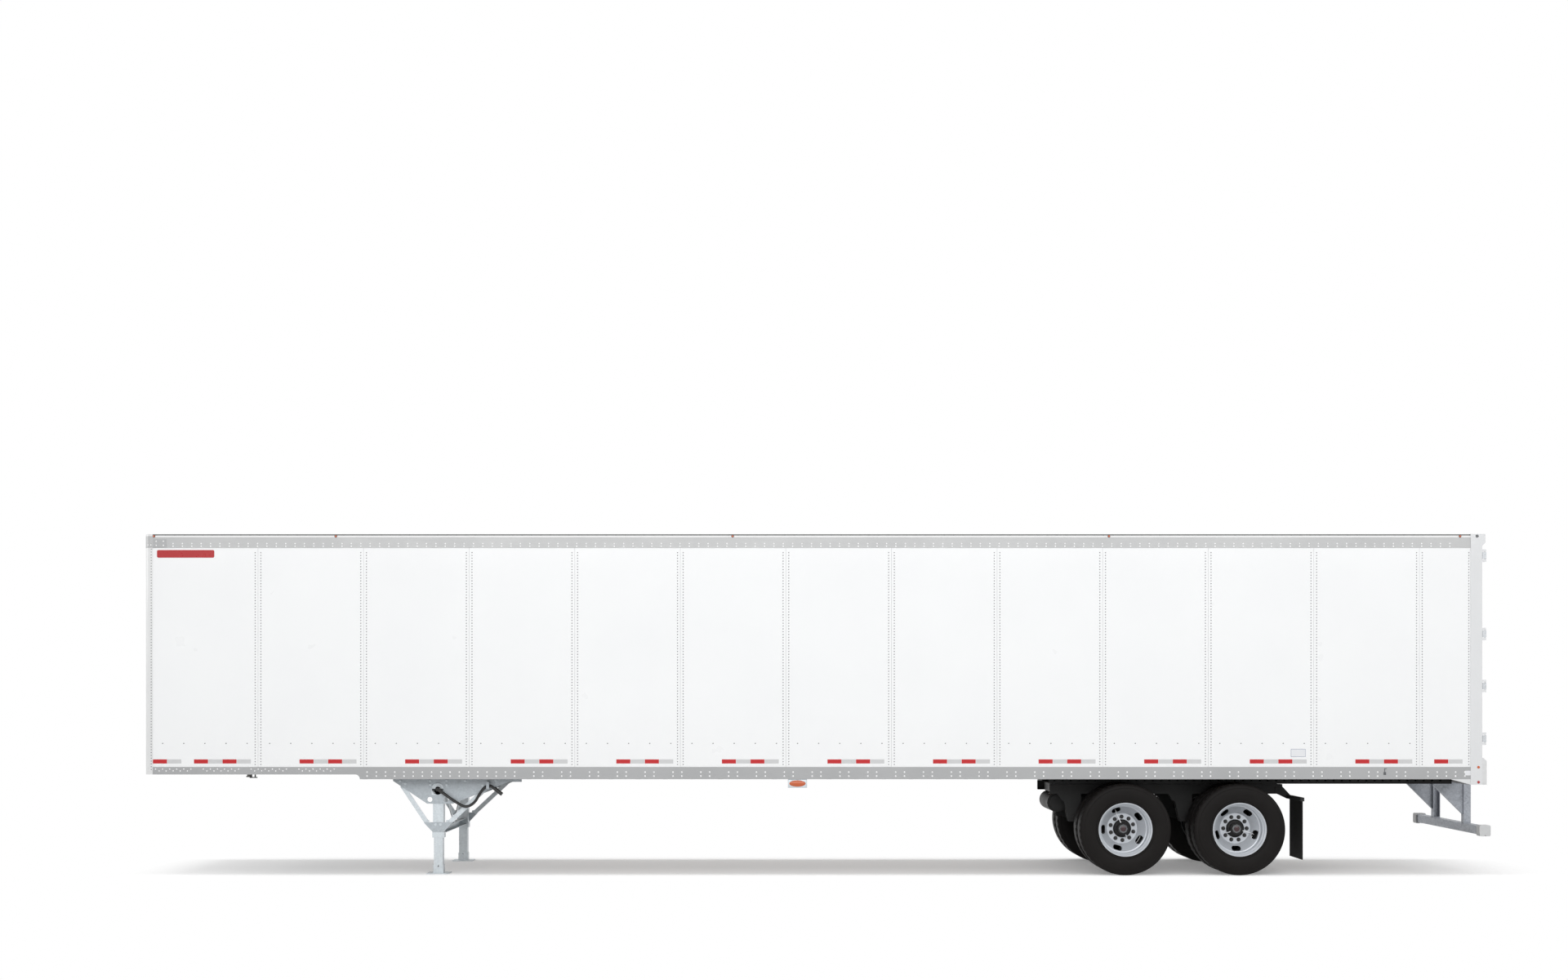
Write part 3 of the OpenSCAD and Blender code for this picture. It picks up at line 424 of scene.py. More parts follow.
def surface(name, colour, cloud, metallic=0.0, coat=0.0, rough=0.4, spread=0.15, clouds=2.0,
            amount=0.3, grain=60.0, stretch=(1, 1, 1), bump=0.15, depth=0.4 * MM,
            dust=0.0, reach=1.4, shine=0.5, inner_shade=0.0):
    """Paint, bare metal, rubber or wood with its grain and some road dust, and painted shade with brake dust on
    the inner side if asked.
    """
    material, tree, shader = start_material(name, metallic, coat)
    grained = place_group(tree, GRAIN, colour=rgba(colour), cloud_colour=rgba(cloud),
                          cloud_scale=clouds, cloud_amount=amount, roughness=rough,
                          roughness_spread=spread, grain_scale=grain, stretch=stretch)
    dusted = place_group(tree, DUST, colour=grained.outputs["Colour"], reach=reach, amount=dust)
    # painted shade with some brake dust: darkens everything inward of the wheels' middle plane
    if inner_shade:
        dusted = place_group(tree, INNER_SHADE, colour=dusted.outputs["Colour"], plane=WHEEL_MIDDLE,
                             amount=inner_shade)
    tree.links.new(dusted.outputs["Colour"], shader.inputs["Base Color"])
    tree.links.new(grained.outputs["Roughness"], shader.inputs["Roughness"])
    shader.inputs["Specular IOR Level"].default_value = shine
    add_bump(tree, shader, grained.outputs["Height"], bump, depth)
    return material


def zinc(name, colour, dark, contrast=0.6, metallic=0.55, dust=0.12):
    material, tree, shader = start_material(name, metallic)
    flakes = place_group(tree, SPANGLE, colour=rgba(colour), dark_colour=rgba(dark),
                         contrast=contrast)
    dusted = place_group(tree, DUST, colour=flakes.outputs["Colour"], reach=0.6, amount=dust)
    tree.links.new(dusted.outputs["Colour"], shader.inputs["Base Color"])
    tree.links.new(flakes.outputs["Roughness"], shader.inputs["Roughness"])
    add_bump(tree, shader, flakes.outputs["Height"], 0.12, 0.3 * MM)
    return material


def lens(name, colour, shade, ribs=55.0, rough=0.18, depth=0.5, coat=0.6):
    material, tree, shader = start_material(name, 0.0, coat)
    prisms = place_group(tree, PRISMS, rib_scale=ribs, colour=rgba(colour),
                         shade_colour=rgba(shade), depth=depth)
    grained = place_group(tree, GRAIN, colour=prisms.outputs["Colour"], cloud_colour=rgba(shade),
                          cloud_scale=9.0, cloud_amount=0.12, roughness=rough,
                          roughness_spread=0.1)
    tree.links.new(grained.outputs["Colour"], shader.inputs["Base Color"])
    tree.links.new(grained.outputs["Roughness"], shader.inputs["Roughness"])
    add_bump(tree, shader, prisms.outputs["Height"], 0.4, 0.8 * MM)
    return material


FINISHES = {
    "white_panel": surface("white_panel", (0.91, 0.92, 0.925), (0.87, 0.88, 0.89), coat=0.25,
                           rough=0.32, clouds=0.9, amount=0.5, grain=3.0, bump=0.25,
                           depth=2 * MM, dust=0.05, reach=2.0),
    "rail_aluminium": surface("rail_aluminium", (0.47, 0.475, 0.475), (0.40, 0.405, 0.41),
                              metallic=0.35, rough=0.42, grain=90.0, stretch=(0.04, 1, 1),
                              amount=0.45, clouds=1.3, bump=0.12),
    "lower_aluminium": surface("lower_aluminium", (0.40, 0.405, 0.41), (0.34, 0.345, 0.35),
                               metallic=0.35, rough=0.42, grain=90.0, stretch=(0.04, 1, 1),
                               amount=0.45, clouds=1.3, bump=0.12),
    "post_aluminium": surface("post_aluminium", (0.74, 0.745, 0.745), (0.66, 0.665, 0.67),
                              metallic=0.2, rough=0.4, grain=90.0, stretch=(1, 1, 0.04),
                              amount=0.4, bump=0.1),
    "roof_skin": surface("roof_skin", (0.62, 0.63, 0.64), (0.52, 0.53, 0.54), metallic=0.7,
                         rough=0.38, clouds=0.8, amount=0.5, grain=4.0, bump=0.3, depth=2 * MM),
    "floor_wood": surface("floor_wood", (0.36, 0.21, 0.11), (0.22, 0.12, 0.06), rough=0.55,
                          clouds=3.0, amount=0.7, grain=45.0, stretch=(0.06, 1, 1), bump=0.4),
    "underframe_paint": surface("underframe_paint", (0.012, 0.0125, 0.013),
                                (0.022, 0.022, 0.022), rough=0.5, spread=0.3, clouds=5.0,
                                amount=0.6, grain=120.0, bump=0.3, dust=0.03, shine=0.25),
    "bright_steel": surface("bright_steel", (0.55, 0.56, 0.57), (0.45, 0.46, 0.47), metallic=0.6,
                            rough=0.4, clouds=4.0, grain=80.0, stretch=(1, 1, 0.05)),
    "kingpin_steel": surface("kingpin_steel", (0.23, 0.225, 0.22), (0.10, 0.09, 0.08),
                             metallic=0.8, rough=0.35, clouds=30.0, amount=0.7, grain=200.0),
    "rear_paint": surface("rear_paint", (0.74, 0.75, 0.76), (0.68, 0.69, 0.70), coat=0.2,
                          rough=0.38, clouds=2.2, amount=0.4, grain=30.0, dust=0.06),
    "bumper_paint": surface("bumper_paint", (0.72, 0.725, 0.73), (0.60, 0.605, 0.61), rough=0.6,
                            clouds=14.0, amount=0.6, grain=90.0, bump=0.4, dust=0.1),
    "red_lens": lens("red_lens", (0.55, 0.01, 0.012), (0.20, 0.004, 0.006)),
    "amber_lens": lens("amber_lens", (0.72, 0.13, 0.015), (0.35, 0.05, 0.006)),
    "red_tape": lens("red_tape", (0.56, 0.004, 0.008), (0.44, 0.003, 0.006), ribs=40.0,
                     rough=0.35, depth=0.35, coat=0.0),
    "silver_tape": lens("silver_tape", (0.66, 0.665, 0.67), (0.50, 0.505, 0.51), ribs=40.0,
                        rough=0.3, depth=0.4, coat=0.3),
    "galvanised": zinc("galvanised", (0.66, 0.71, 0.74), (0.40, 0.44, 0.47)),
    "plate_zinc": zinc("plate_zinc", (0.46, 0.50, 0.53), (0.26, 0.29, 0.31)),
    "guard_zinc": zinc("guard_zinc", (0.40, 0.42, 0.46), (0.18, 0.20, 0.22), contrast=0.9),
    "end_cap": surface("end_cap", (0.62, 0.63, 0.635), (0.52, 0.53, 0.535), rough=0.5,
                       clouds=10.0, grain=90.0, dust=0.1),
    "black_paint": surface("black_paint", (0.010, 0.010, 0.010), (0.02, 0.02, 0.02), rough=0.35,
                           clouds=9.0, amount=0.5, grain=120.0, dust=0.04),
    "rubber": surface("rubber", (0.008, 0.0078, 0.0078), (0.014, 0.0135, 0.013), rough=0.6,
                      clouds=4.0, amount=0.5, grain=70.0, bump=0.3, dust=0.02, shine=0.15),
    "tyre": surface("tyre", (0.0065, 0.0055, 0.0052), (0.011, 0.0095, 0.009), rough=0.5,
                    clouds=6.0, amount=0.5, grain=140.0, bump=0.25, dust=0.008, reach=0.5,
                    shine=0.12),
    # the inner side of the rims takes painted shade, with some brake dust, behind the outer discs
    "rim_silver": surface("rim_silver", (0.60, 0.63, 0.67), (0.52, 0.55, 0.59), metallic=0.25,
                          coat=0.15, rough=0.34, clouds=8.0, amount=0.4, grain=160.0, bump=0.1,
                          dust=0.06, inner_shade=1.0),
    "hub_iron": surface("hub_iron", (0.010, 0.010, 0.010), (0.022, 0.020, 0.019), metallic=0.2,
                        rough=0.5, clouds=22.0, amount=0.6, grain=160.0, bump=0.4, shine=0.3),
    "panel_rivet": surface("panel_rivet", (0.30, 0.305, 0.31), (0.24, 0.245, 0.25), rough=0.45,
                           clouds=30.0, grain=300.0),
    "rail_rivet": surface("rail_rivet", (0.93, 0.93, 0.93), (0.84, 0.84, 0.84), rough=0.4,
                          clouds=30.0, grain=300.0),
    "roof_edge": surface("roof_edge", (0.10, 0.11, 0.105), (0.15, 0.16, 0.155), rough=0.5,
                         clouds=9.0, amount=0.7, grain=90.0),
    "cap_grey": surface("cap_grey", (0.13, 0.135, 0.14), (0.08, 0.085, 0.09), metallic=0.5,
                        rough=0.35, clouds=40.0, grain=300.0),
    "door_steel": zinc("door_steel", (0.56, 0.58, 0.60), (0.40, 0.42, 0.44), contrast=0.35,
                       metallic=0.6, dust=0.0),
    "badge_red": surface("badge_red", (0.44, 0.006, 0.010), (0.36, 0.005, 0.008), coat=0.0,
                         rough=0.3, clouds=12.0, grain=90.0),
    "label_white": surface("label_white", (0.80, 0.81, 0.83), (0.70, 0.72, 0.76), rough=0.4,
                           clouds=16.0, grain=90.0),
    "label_edge": surface("label_edge", (0.22, 0.25, 0.36), (0.30, 0.32, 0.42), rough=0.4,
                          clouds=16.0, grain=90.0),
    "hub_red": surface("hub_red", (0.035, 0.006, 0.009), (0.02, 0.003, 0.005), coat=0.2,
                       rough=0.25, clouds=60.0, grain=300.0),
    "tube_braid": surface("tube_braid", (0.93, 0.94, 0.95), (0.84, 0.85, 0.86), rough=0.3,
                          clouds=40.0, grain=300.0),
}


def dress(obj, finish):
    obj.data.materials.clear()
    obj.data.materials.append(FINISHES[finish])


def dress_frame():
    """Each CAD node takes its record slot's finish, with a few set apart."""
    special = {"front_frame": "post_aluminium", "underride_guard": "guard_zinc",
               "bottom_rails": "lower_aluminium", "air_tanks": "underframe_paint",
               "shock_absorbers": "underframe_paint", "brake_chambers": "underframe_paint",
               "landing_gear_plates": "plate_zinc"}
    for part in frame["record"]["subparts"]:
        node, slot_name = part["node"], part["material_slot"]
        dress(frame["nodes"][node], special.get(node, slot_name))


# ---- building blocks for new pieces ----

def make_piece(name, form, finish, body, smooth=None):
    bmesh.ops.remove_doubles(form, verts=form.verts, dist=1e-6)
    bmesh.ops.recalc_face_normals(form, faces=form.faces)
    mesh = bpy.data.meshes.new(name)
    form.to_mesh(mesh)
    form.free()
    obj = bpy.data.objects.new(name, mesh)
    bpy.context.collection.objects.link(obj)
    obj.data.materials.append(FINISHES[finish])
    if smooth is not None:
        mesh.shade_smooth()
        mesh.set_sharp_from_angle(angle=math.radians(smooth))
    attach(obj, body)
    return obj


def add_box(form, corner, opposite):
    corner, opposite = Vector(corner), Vector(opposite)
    size = opposite - corner
    turn = Matrix.Translation((corner + opposite) / 2) @ Matrix.Diagonal((*size, 1))
    return bmesh.ops.create_cube(form, size=1.0, matrix=turn)["verts"]


AXIS_TURN = {"X": Matrix.Rotation(math.radians(90), 4, "Y"),
             "Y": Matrix.Rotation(math.radians(-90), 4, "X"),
             "Z": Matrix.Identity(4)}


def add_cone(form, foot, axis, r_foot, r_top, height, sides=24):
    """A round or many-sided boss that stands on foot and points along axis."""
    turn = AXIS_TURN[axis[-1]]
    if axis.startswith("-"):
        turn = turn @ Matrix.Rotation(math.pi, 4, "X")
    place = Matrix.Translation(foot) @ turn @ Matrix.Translation((0, 0, height / 2))
    return bmesh.ops.create_cone(form, cap_ends=True, segments=sides, radius1=r_foot,
                                 radius2=r_top, depth=height, matrix=place)["verts"]


def bevel_all(form, width, segments=2):
    bmesh.ops.bevel(form, geom=form.edges[:], offset=width, segments=segments, profile=0.5,
                    affect="EDGES", material=-1)


def repeat(obj, count, step):
    array = obj.modifiers.new("row", "ARRAY")
    array.use_relative_offset = False
    array.use_constant_offset = True
    array.constant_offset_displace = step
    array.count = count


def on_both_sides(obj):
    mirror = obj.modifiers.new("other_side", "MIRROR")
    mirror.use_axis = (False, True, False)


def rivets(name, place, axis, finish, body="van", r=6 * MM, rows=(), both=True):
    """Low domed heads, repeated along each (count, step) of rows."""
    form = bmesh.new()
    add_cone(form, place, axis, r, 0.45 * r, 0.3 * r, sides=8)
    obj = make_piece(name, form, finish, body, smooth=60)
    for count, step in rows:
        repeat(obj, count, step)
    if both:
        on_both_sides(obj)
    return obj


def spun(form, outline, centre, axis, steps):
    """Turns an outline of (radius, height) points round an axis through centre."""
    turn = Matrix.Translation(centre) @ AXIS_TURN[axis]
    verts = [form.verts.new(turn @ Vector((r, 0, h))) for r, h in outline]
    edges = [form.edges.new((a, b)) for a, b in zip(verts, verts[1:])]
    direction = (turn.to_3x3() @ Vector((0, 0, 1))).normalized()
    bmesh.ops.spin(form, geom=verts + edges, cent=centre, axis=direction, angle=math.tau,
                   steps=steps, use_merge=True)


# ---- rivets, seams, tape and labels on the body ----

def side_rivets():
    head = 7.5 * MM
    spacing = 34 * MM
    lowest = RAIL_TOP + 30 * MM
    count = int((TOP_RAIL_LOW - lowest) / spacing)
    column = (count, (0, 0, spacing))
    first = (FIRST_SEAM - 34 * MM, PANEL_Y, lowest)
    rivets("seam_rivets", first, "Y", "panel_rivet", r=head,
           rows=[column, (2, (68 * MM, 0, 0)), (SEAMS, (PITCH, 0, 0))])
    rivets("rear_column_rivets", (SIDE_REAR_X - 20 * MM, PANEL_Y, lowest), "Y", "panel_rivet",
           r=head, rows=[column])
    rivets("front_post_rivets", (NOSE_X + 82 * MM, RAIL_Y, COUPLER_Z + 60 * MM), "Y",
           "panel_rivet", r=head, rows=[(int((ROOF_Z - COUPLER_Z - 0.14) / spacing),
                                         (0, 0, spacing))])
    scuff_z = FLOOR_TOP + 296 * MM
    fifth = PITCH / 5
    rivets("scuff_rivets", (FIRST_SEAM + fifth * 0.55, PANEL_Y, scuff_z), "Y", "panel_rivet",
           r=8 * MM, rows=[(5, (fifth, 0, 0)), (SEAMS - 1, (PITCH, 0, 0))])
    rivets("front_scuff_rivets", (SIDE_FRONT_X + 120 * MM, PANEL_Y, scuff_z), "Y",
           "panel_rivet", r=8 * MM, rows=[(5, (fifth, 0, 0))])
    for name, z in (("tape_top_rivets", TAPE_TOP + 14 * MM), ("tape_low_rivets", TAPE_LOW - 18 * MM)):
        rivets(name, (SIDE_FRONT_X + 70 * MM, PANEL_Y, z), "Y", "white_panel", r=5 * MM,
               rows=[(int((SIDE_REAR_X - SIDE_FRONT_X - 0.14) / (34 * MM)), (34 * MM, 0, 0))])


def rail_rivets():
    for name, z in (("upper", RAIL_TOP - 62 * MM), ("lower", RAIL_TOP - 110 * MM)):
        near = STEP_X + 120 * MM
        step = 111 * MM
        count = int((LEG_X + 1.15 - near) / step)
        rivets(f"rail_rivets_near_{name}", (near, RAIL_Y, z), "Y", "rail_rivet", r=10 * MM,
               rows=[(count, (step, 0, 0))])
        start = near + count * step + 120 * MM
        beam = 335 * MM
        end = TAIL_X - 705 * MM
        rivets(f"rail_rivets_{name}", (start, RAIL_Y, z), "Y", "rail_rivet", r=10 * MM,
               rows=[(2, (106 * MM, 0, 0)), (int((end - start) / beam), (beam, 0, 0))])
        rivets(f"rail_rivets_end_{name}", (end, RAIL_Y, z), "Y", "rail_rivet", r=10 * MM,
               rows=[(5, (step, 0, 0))])
    zig = 42.5 * MM
    group = 575 * MM
    for name, dx, z, count in (("upper", 0, RAIL_TOP - 26 * MM, 6), ("lower", zig, RAIL_TOP - 48 * MM, 5)):
        rivets(f"coupler_rivets_{name}", (SIDE_FRONT_X + 36 * MM + dx, RAIL_Y, z), "Y",
               "rail_rivet", r=8 * MM, rows=[(count, (2 * zig, 0, 0)), (4, (group, 0, 0))])
    top_pitch = 113 * MM
    top_count = int((SIDE_REAR_X - SIDE_FRONT_X - 0.3) / top_pitch)
    for name, z in (("lower", TOP_RAIL_LOW + 19 * MM), ("upper", TOP_RAIL_LOW + 52 * MM)):
        rivets(f"top_rail_rivets_{name}", (SIDE_FRONT_X + 246 * MM, RAIL_Y, z), "Y",
               "rail_rivet", r=9 * MM, rows=[(top_count, (top_pitch, 0, 0))])
    rivets("roof_rivets", (SIDE_FRONT_X + 40 * MM, high("roof").y - 18 * MM, high("roof").z), "Z",
           "roof_skin", r=7 * MM, rows=[(top_count, (top_pitch, 0, 0))])
    form = bmesh.new()
    add_box(form, (NOSE_X + 30 * MM, RAIL_Y - 26 * MM, ROOF_Z - 16 * MM),
            (SIDE_REAR_X, RAIL_Y - 15 * MM, ROOF_Z - 3 * MM))
    on_both_sides(make_piece("roof_hem", form, "roof_edge", "van"))
    form = bmesh.new()
    add_box(form, (SIDE_FRONT_X + 30 * MM, RAIL_Y - 20 * MM, ROOF_Z - 22 * MM),
            (SIDE_FRONT_X + 46 * MM, RAIL_Y - 12 * MM, ROOF_Z - 5 * MM))
    clips = make_piece("roof_hem_clips", form, "roof_edge", "van")
    repeat(clips, top_count, (top_pitch, 0, 0))
    on_both_sides(clips)


TAPE_LOW, TAPE_TOP = FLOOR_TOP + 54 * MM, FLOOR_TOP + 104 * MM
TAPE_CELL = 172 * MM


def tape_strip(name, finish, x, rows, both=True):
    form = bmesh.new()
    add_box(form, (x, PANEL_Y, TAPE_LOW), (x + TAPE_CELL - 3 * MM, PANEL_Y + 0.8 * MM, TAPE_TOP))
    obj = make_piece(name, form, finish, "van")
    for count, step in rows:
        repeat(obj, count, step)
    on_both_sides(obj)


def side_tape():
    group_x = FIRST_SEAM - 771 * MM
    cells = [("red_tape", 0), ("silver_tape", 1)]
    for finish, cell in cells:
        x = group_x + cell * TAPE_CELL
        tape_strip(f"side_{finish}", finish, x, [(2, (2 * TAPE_CELL, 0, 0)), (SEAMS, (PITCH, 0, 0))])
        tape_strip(f"nose_{finish}", finish, SIDE_FRONT_X + 3 * MM + cell * TAPE_CELL, [])
        tape_strip(f"tail_{finish}", finish, LAST_SEAM + 178 * MM + cell * TAPE_CELL, [])


def seam_strips():
    """Thin dark joint line between two panels."""
    form = bmesh.new()
    add_box(form, (FIRST_SEAM - 1 * MM, PANEL_Y - 4 * MM, RAIL_TOP),
            (FIRST_SEAM + 1 * MM, PANEL_Y - 2 * MM, TOP_RAIL_LOW))
    obj = make_piece("seam_sealant", form, "rail_aluminium", "van")
    repeat(obj, SEAMS, (PITCH, 0, 0))
    on_both_sides(obj)


def plate(name, finish, corner, size, body="van", thick=1.2 * MM, bevel=6 * MM):
    """A blank plate on the left side, its upright corners rounded."""
    form = bmesh.new()
    x, z = corner
    add_box(form, (x, -PANEL_Y - thick, z), (x + size[0], -PANEL_Y, z + size[1]))
    upright = [e for e in form.edges if abs(e.verts[0].co.y - e.verts[1].co.y) > thick / 2]
    bmesh.ops.bevel(form, geom=upright, offset=bevel, segments=4, profile=0.5, affect="EDGES",
                    material=-1)
    return make_piece(name, form, finish, body, smooth=30)


def plates():
    plate("badge_plate", "badge_red", (NOSE_X + 150 * MM, TOP_RAIL_LOW - 118 * MM),
          (690 * MM, 92 * MM), thick=2 * MM, bevel=18 * MM)
    edge = 4 * MM
    x, z = TAIL_X - 2354 * MM, FLOOR_TOP + 134 * MM
    plate("panel_label_edge", "label_edge", (x, z), (177 * MM, 95 * MM))
    plate("panel_label", "label_white", (x + edge, z + edge), (177 * MM - 2 * edge, 95 * MM - 2 * edge),
          thick=1.8 * MM)
    plate("rail_label", "label_white", (TAIL_X - 261 * MM, RAIL_TOP - 102 * MM), (69 * MM, 57 * MM),
          thick=RAIL_Y - PANEL_Y + 1 * MM)


def small_fittings():
    """A pair of feet under the front of each bottom rail and a hook for the open door."""
    form = bmesh.new()
    foot_x = NOSE_X + 1310 * MM
    for x in (foot_x - 30 * MM, foot_x + 14 * MM):
        add_box(form, (x, RAIL_Y - 14 * MM, COUPLER_Z - 34 * MM), (x + 16 * MM, RAIL_Y - 2 * MM, COUPLER_Z))
    add_box(form, (foot_x - 46 * MM, RAIL_Y - 26 * MM, COUPLER_Z - 42 * MM),
            (foot_x + 46 * MM, RAIL_Y - 2 * MM, COUPLER_Z - 30 * MM))
    bevel_all(form, 3 * MM)
    on_both_sides(make_piece("rail_foot", form, "black_paint", "van", smooth=40))
    hook_x = TAIL_X - 1214 * MM
    form = bmesh.new()
    add_box(form, (hook_x - 26 * MM, RAIL_Y, RAIL_TOP - 96 * MM), (hook_x + 4 * MM, RAIL_Y + 4 * MM, RAIL_TOP - 62 * MM))
    add_cone(form, (hook_x - 12 * MM, RAIL_Y + 2 * MM, RAIL_TOP - 84 * MM), "Z", 4 * MM, 4 * MM, 66 * MM, 10)
    add_cone(form, (hook_x - 12 * MM, RAIL_Y + 2 * MM, RAIL_TOP - 20 * MM), "X", 4 * MM, 4 * MM, 22 * MM, 10)
    on_both_sides(make_piece("hold_back_hook", form, "cap_grey", "van"))


def splice_blocks():
    """Lap plates on the top rail, a curved cap over each front corner and a thin lip strip whose near-white
    colour is a painted highlight.
    """
    form = bmesh.new()
    add_box(form, (SIDE_FRONT_X + 8 * MM, RAIL_Y, TOP_RAIL_LOW + 7 * MM),
            (SIDE_FRONT_X + 168 * MM, RAIL_Y + 4 * MM, TOP_RAIL_LOW + 103 * MM))
    on_both_sides(make_piece("splice_plates", form, "lower_aluminium", "van"))
    rivets("splice_rivets", (SIDE_FRONT_X + 45 * MM, RAIL_Y + 4 * MM, TOP_RAIL_LOW + 30 * MM), "Y",
           "rail_rivet", r=9 * MM, rows=[(2, (86 * MM, 0, 0)), (2, (0, 0, 50 * MM))])
    # a thin strip along the top rail, its lip coloured near-white as a painted highlight
    form = bmesh.new()
    add_box(form, (SIDE_FRONT_X, RAIL_Y, ROOF_Z - 40 * MM),
            (SIDE_REAR_X, RAIL_Y + 1.5 * MM, ROOF_Z - 24 * MM))
    on_both_sides(make_piece("lip_highlight_strip", form, "rail_rivet", "van"))
    bend = 70 * MM
    proud = 1.5 * MM
    turn_x, turn_y = NOSE_X + bend, RAIL_Y - bend
    form = bmesh.new()
    edge = [form.verts.new((NOSE_X - proud, turn_y, z))
            for z in (TOP_RAIL_LOW, ROOF_Z - 26 * MM)]
    line = form.edges.new(edge)
    spin = bmesh.ops.spin(form, geom=[*edge, line], cent=(turn_x, turn_y, 0), axis=(0, 0, 1),
                          angle=-math.pi / 2, steps=12)
    tail = [part for part in spin["geom_last"] if isinstance(part, bmesh.types.BMEdge)]
    drawn = bmesh.ops.extrude_edge_only(form, edges=tail)
    ends = [part for part in drawn["geom"] if isinstance(part, bmesh.types.BMVert)]
    bmesh.ops.translate(form, verts=ends, vec=(SIDE_FRONT_X - turn_x, 0, 0))
    bmesh.ops.remove_doubles(form, verts=form.verts, dist=1e-6)
    bmesh.ops.recalc_face_normals(form, faces=form.faces)
    bmesh.ops.solidify(form, geom=form.faces, thickness=2 * MM)
    bmesh.ops.recalc_face_normals(form, faces=form.faces)
    on_both_sides(make_piece("corner_caps", form, "rail_aluminium", "van", smooth=30))
    rivets("corner_cap_rivets", (NOSE_X + 78 * MM, RAIL_Y + proud, TOP_RAIL_LOW + 34 * MM), "Y",
           "rail_rivet", r=8 * MM, rows=[(2, (-34 * MM, 0, 0))])


def front_rivets():
    wall = high("front_wall")
    face = low("front_wall").x
    third = (2 * wall.y) / 3
    spacing = 60 * MM
    bottom = low("front_wall").z + 30 * MM
    count = int((wall.z - bottom - 20 * MM) / spacing)
    for i, y in enumerate((third / 2 - 20 * MM, third / 2 + 20 * MM, wall.y - 18 * MM)):
        rivets(f"front_wall_rivets_{i}", (face, y, bottom), "-X", "white_panel", r=6 * MM,
               rows=[(count, (0, 0, spacing))])
    rail = low("front_frame").x
    across = int(2 * wall.y / (90 * MM))
    for i, z in enumerate((COUPLER_Z + 25 * MM, COUPLER_Z + 68 * MM, ROOF_Z - 125 * MM, ROOF_Z - 40 * MM)):
        rivets(f"front_rail_rivets_{i}", (rail, -wall.y + 20 * MM, z), "-X", "post_aluminium",
               r=8 * MM, rows=[(across, (0, 90 * MM, 0))], both=False)


# ---- lamps ----

def bent_lens(form, centre, size, depth):
    """A domed lens, long in X, on a face towards +Y."""
    made = bmesh.ops.create_uvsphere(form, u_segments=28, v_segments=14, radius=1.0)["verts"]
    bmesh.ops.scale(form, verts=made, vec=(size[0] / 2, depth, size[1] / 2))
    bmesh.ops.translate(form, verts=made, vec=centre)
    cut = bmesh.ops.bisect_plane(form, geom=form.verts[:] + form.edges[:] + form.faces[:],
                                 plane_co=centre, plane_no=(0, -1, 0), clear_outer=True)
    rim = [e for e in cut["geom_cut"] if isinstance(e, bmesh.types.BMEdge)]
    bmesh.ops.edgeloop_fill(form, edges=rim)


def side_lamp_pieces():
    lamps = frame["nodes"]["side_lamps"]
    markers_x = [NOSE_X + 114 * MM, NOSE_X + 2304 * MM, NOSE_X + 7080 * MM,
                 TAIL_X - 4545 * MM, TAIL_X - 319 * MM]
    z = high("side_lamps").z - 12 * MM
    base, cover = bmesh.new(), bmesh.new()
    for x in markers_x:
        add_cone(base, (x, RAIL_Y, z), "Y", 17 * MM, 15 * MM, 4 * MM)
        add_cone(cover, (x, RAIL_Y + 4 * MM, z), "Y", 12 * MM, 9 * MM, 5.5 * MM)
    marker_base = make_piece("marker_bases", base, "black_paint", "van", smooth=40)
    marker_lens = make_piece("marker_lenses", cover, "amber_lens", "van", smooth=40)
    post_x = low("bumper_blocks").x - 45 * MM
    sill = low("rear_frame").z
    post_pieces = []
    for name, finish, rise in (("post_lamp_red", "red_lens", 31 * MM),
                               ("post_lamp_amber", "amber_lens", 211 * MM)):
        form = bmesh.new()
        bent_lens(form, (post_x, HALF_W - 3 * MM, sill + rise), (34 * MM, 34 * MM), 3 * MM)
        post_pieces.append(make_piece(name, form, finish, "van", smooth=40))
    turn_x = NOSE_X + 7860 * MM
    face = RAIL_Y - 16 * MM
    form = bmesh.new()
    add_box(form, (turn_x - 115 * MM, face - 18 * MM, RAIL_LOW - 104 * MM),
            (turn_x + 115 * MM, face, RAIL_LOW))
    bevel_all(form, 5 * MM)
    bracket = make_piece("turn_lamp_bracket", form, "galvanised", "van", smooth=40)
    form = bmesh.new()
    bent_lens(form, (turn_x, face, RAIL_LOW - 52 * MM), (198 * MM, 78 * MM), 14 * MM)
    turn_lens = make_piece("turn_lamp_lens", form, "amber_lens", "van", smooth=50)
    for obj in [marker_base, marker_lens, bracket, turn_lens, *post_pieces]:
        on_both_sides(obj)
        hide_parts("side_lamps")


def rear_lamp_rings():
    face = low("rear_lamps").x + 30 * MM
    z = low("rear_lamps").z + 55 * MM
    form = bmesh.new()
    for y in (780 * MM, 940 * MM, 1100 * MM):
        spun(form, [(54 * MM, 0), (54 * MM, 5 * MM), (58 * MM, 8 * MM), (64 * MM, 6 * MM),
                    (66 * MM, 0)], Vector((face, y, z)), "X", 40)
    obj = make_piece("lamp_grommets", form, "rubber", "van", smooth=50)
    on_both_sides(obj)


# ---- wheels ----

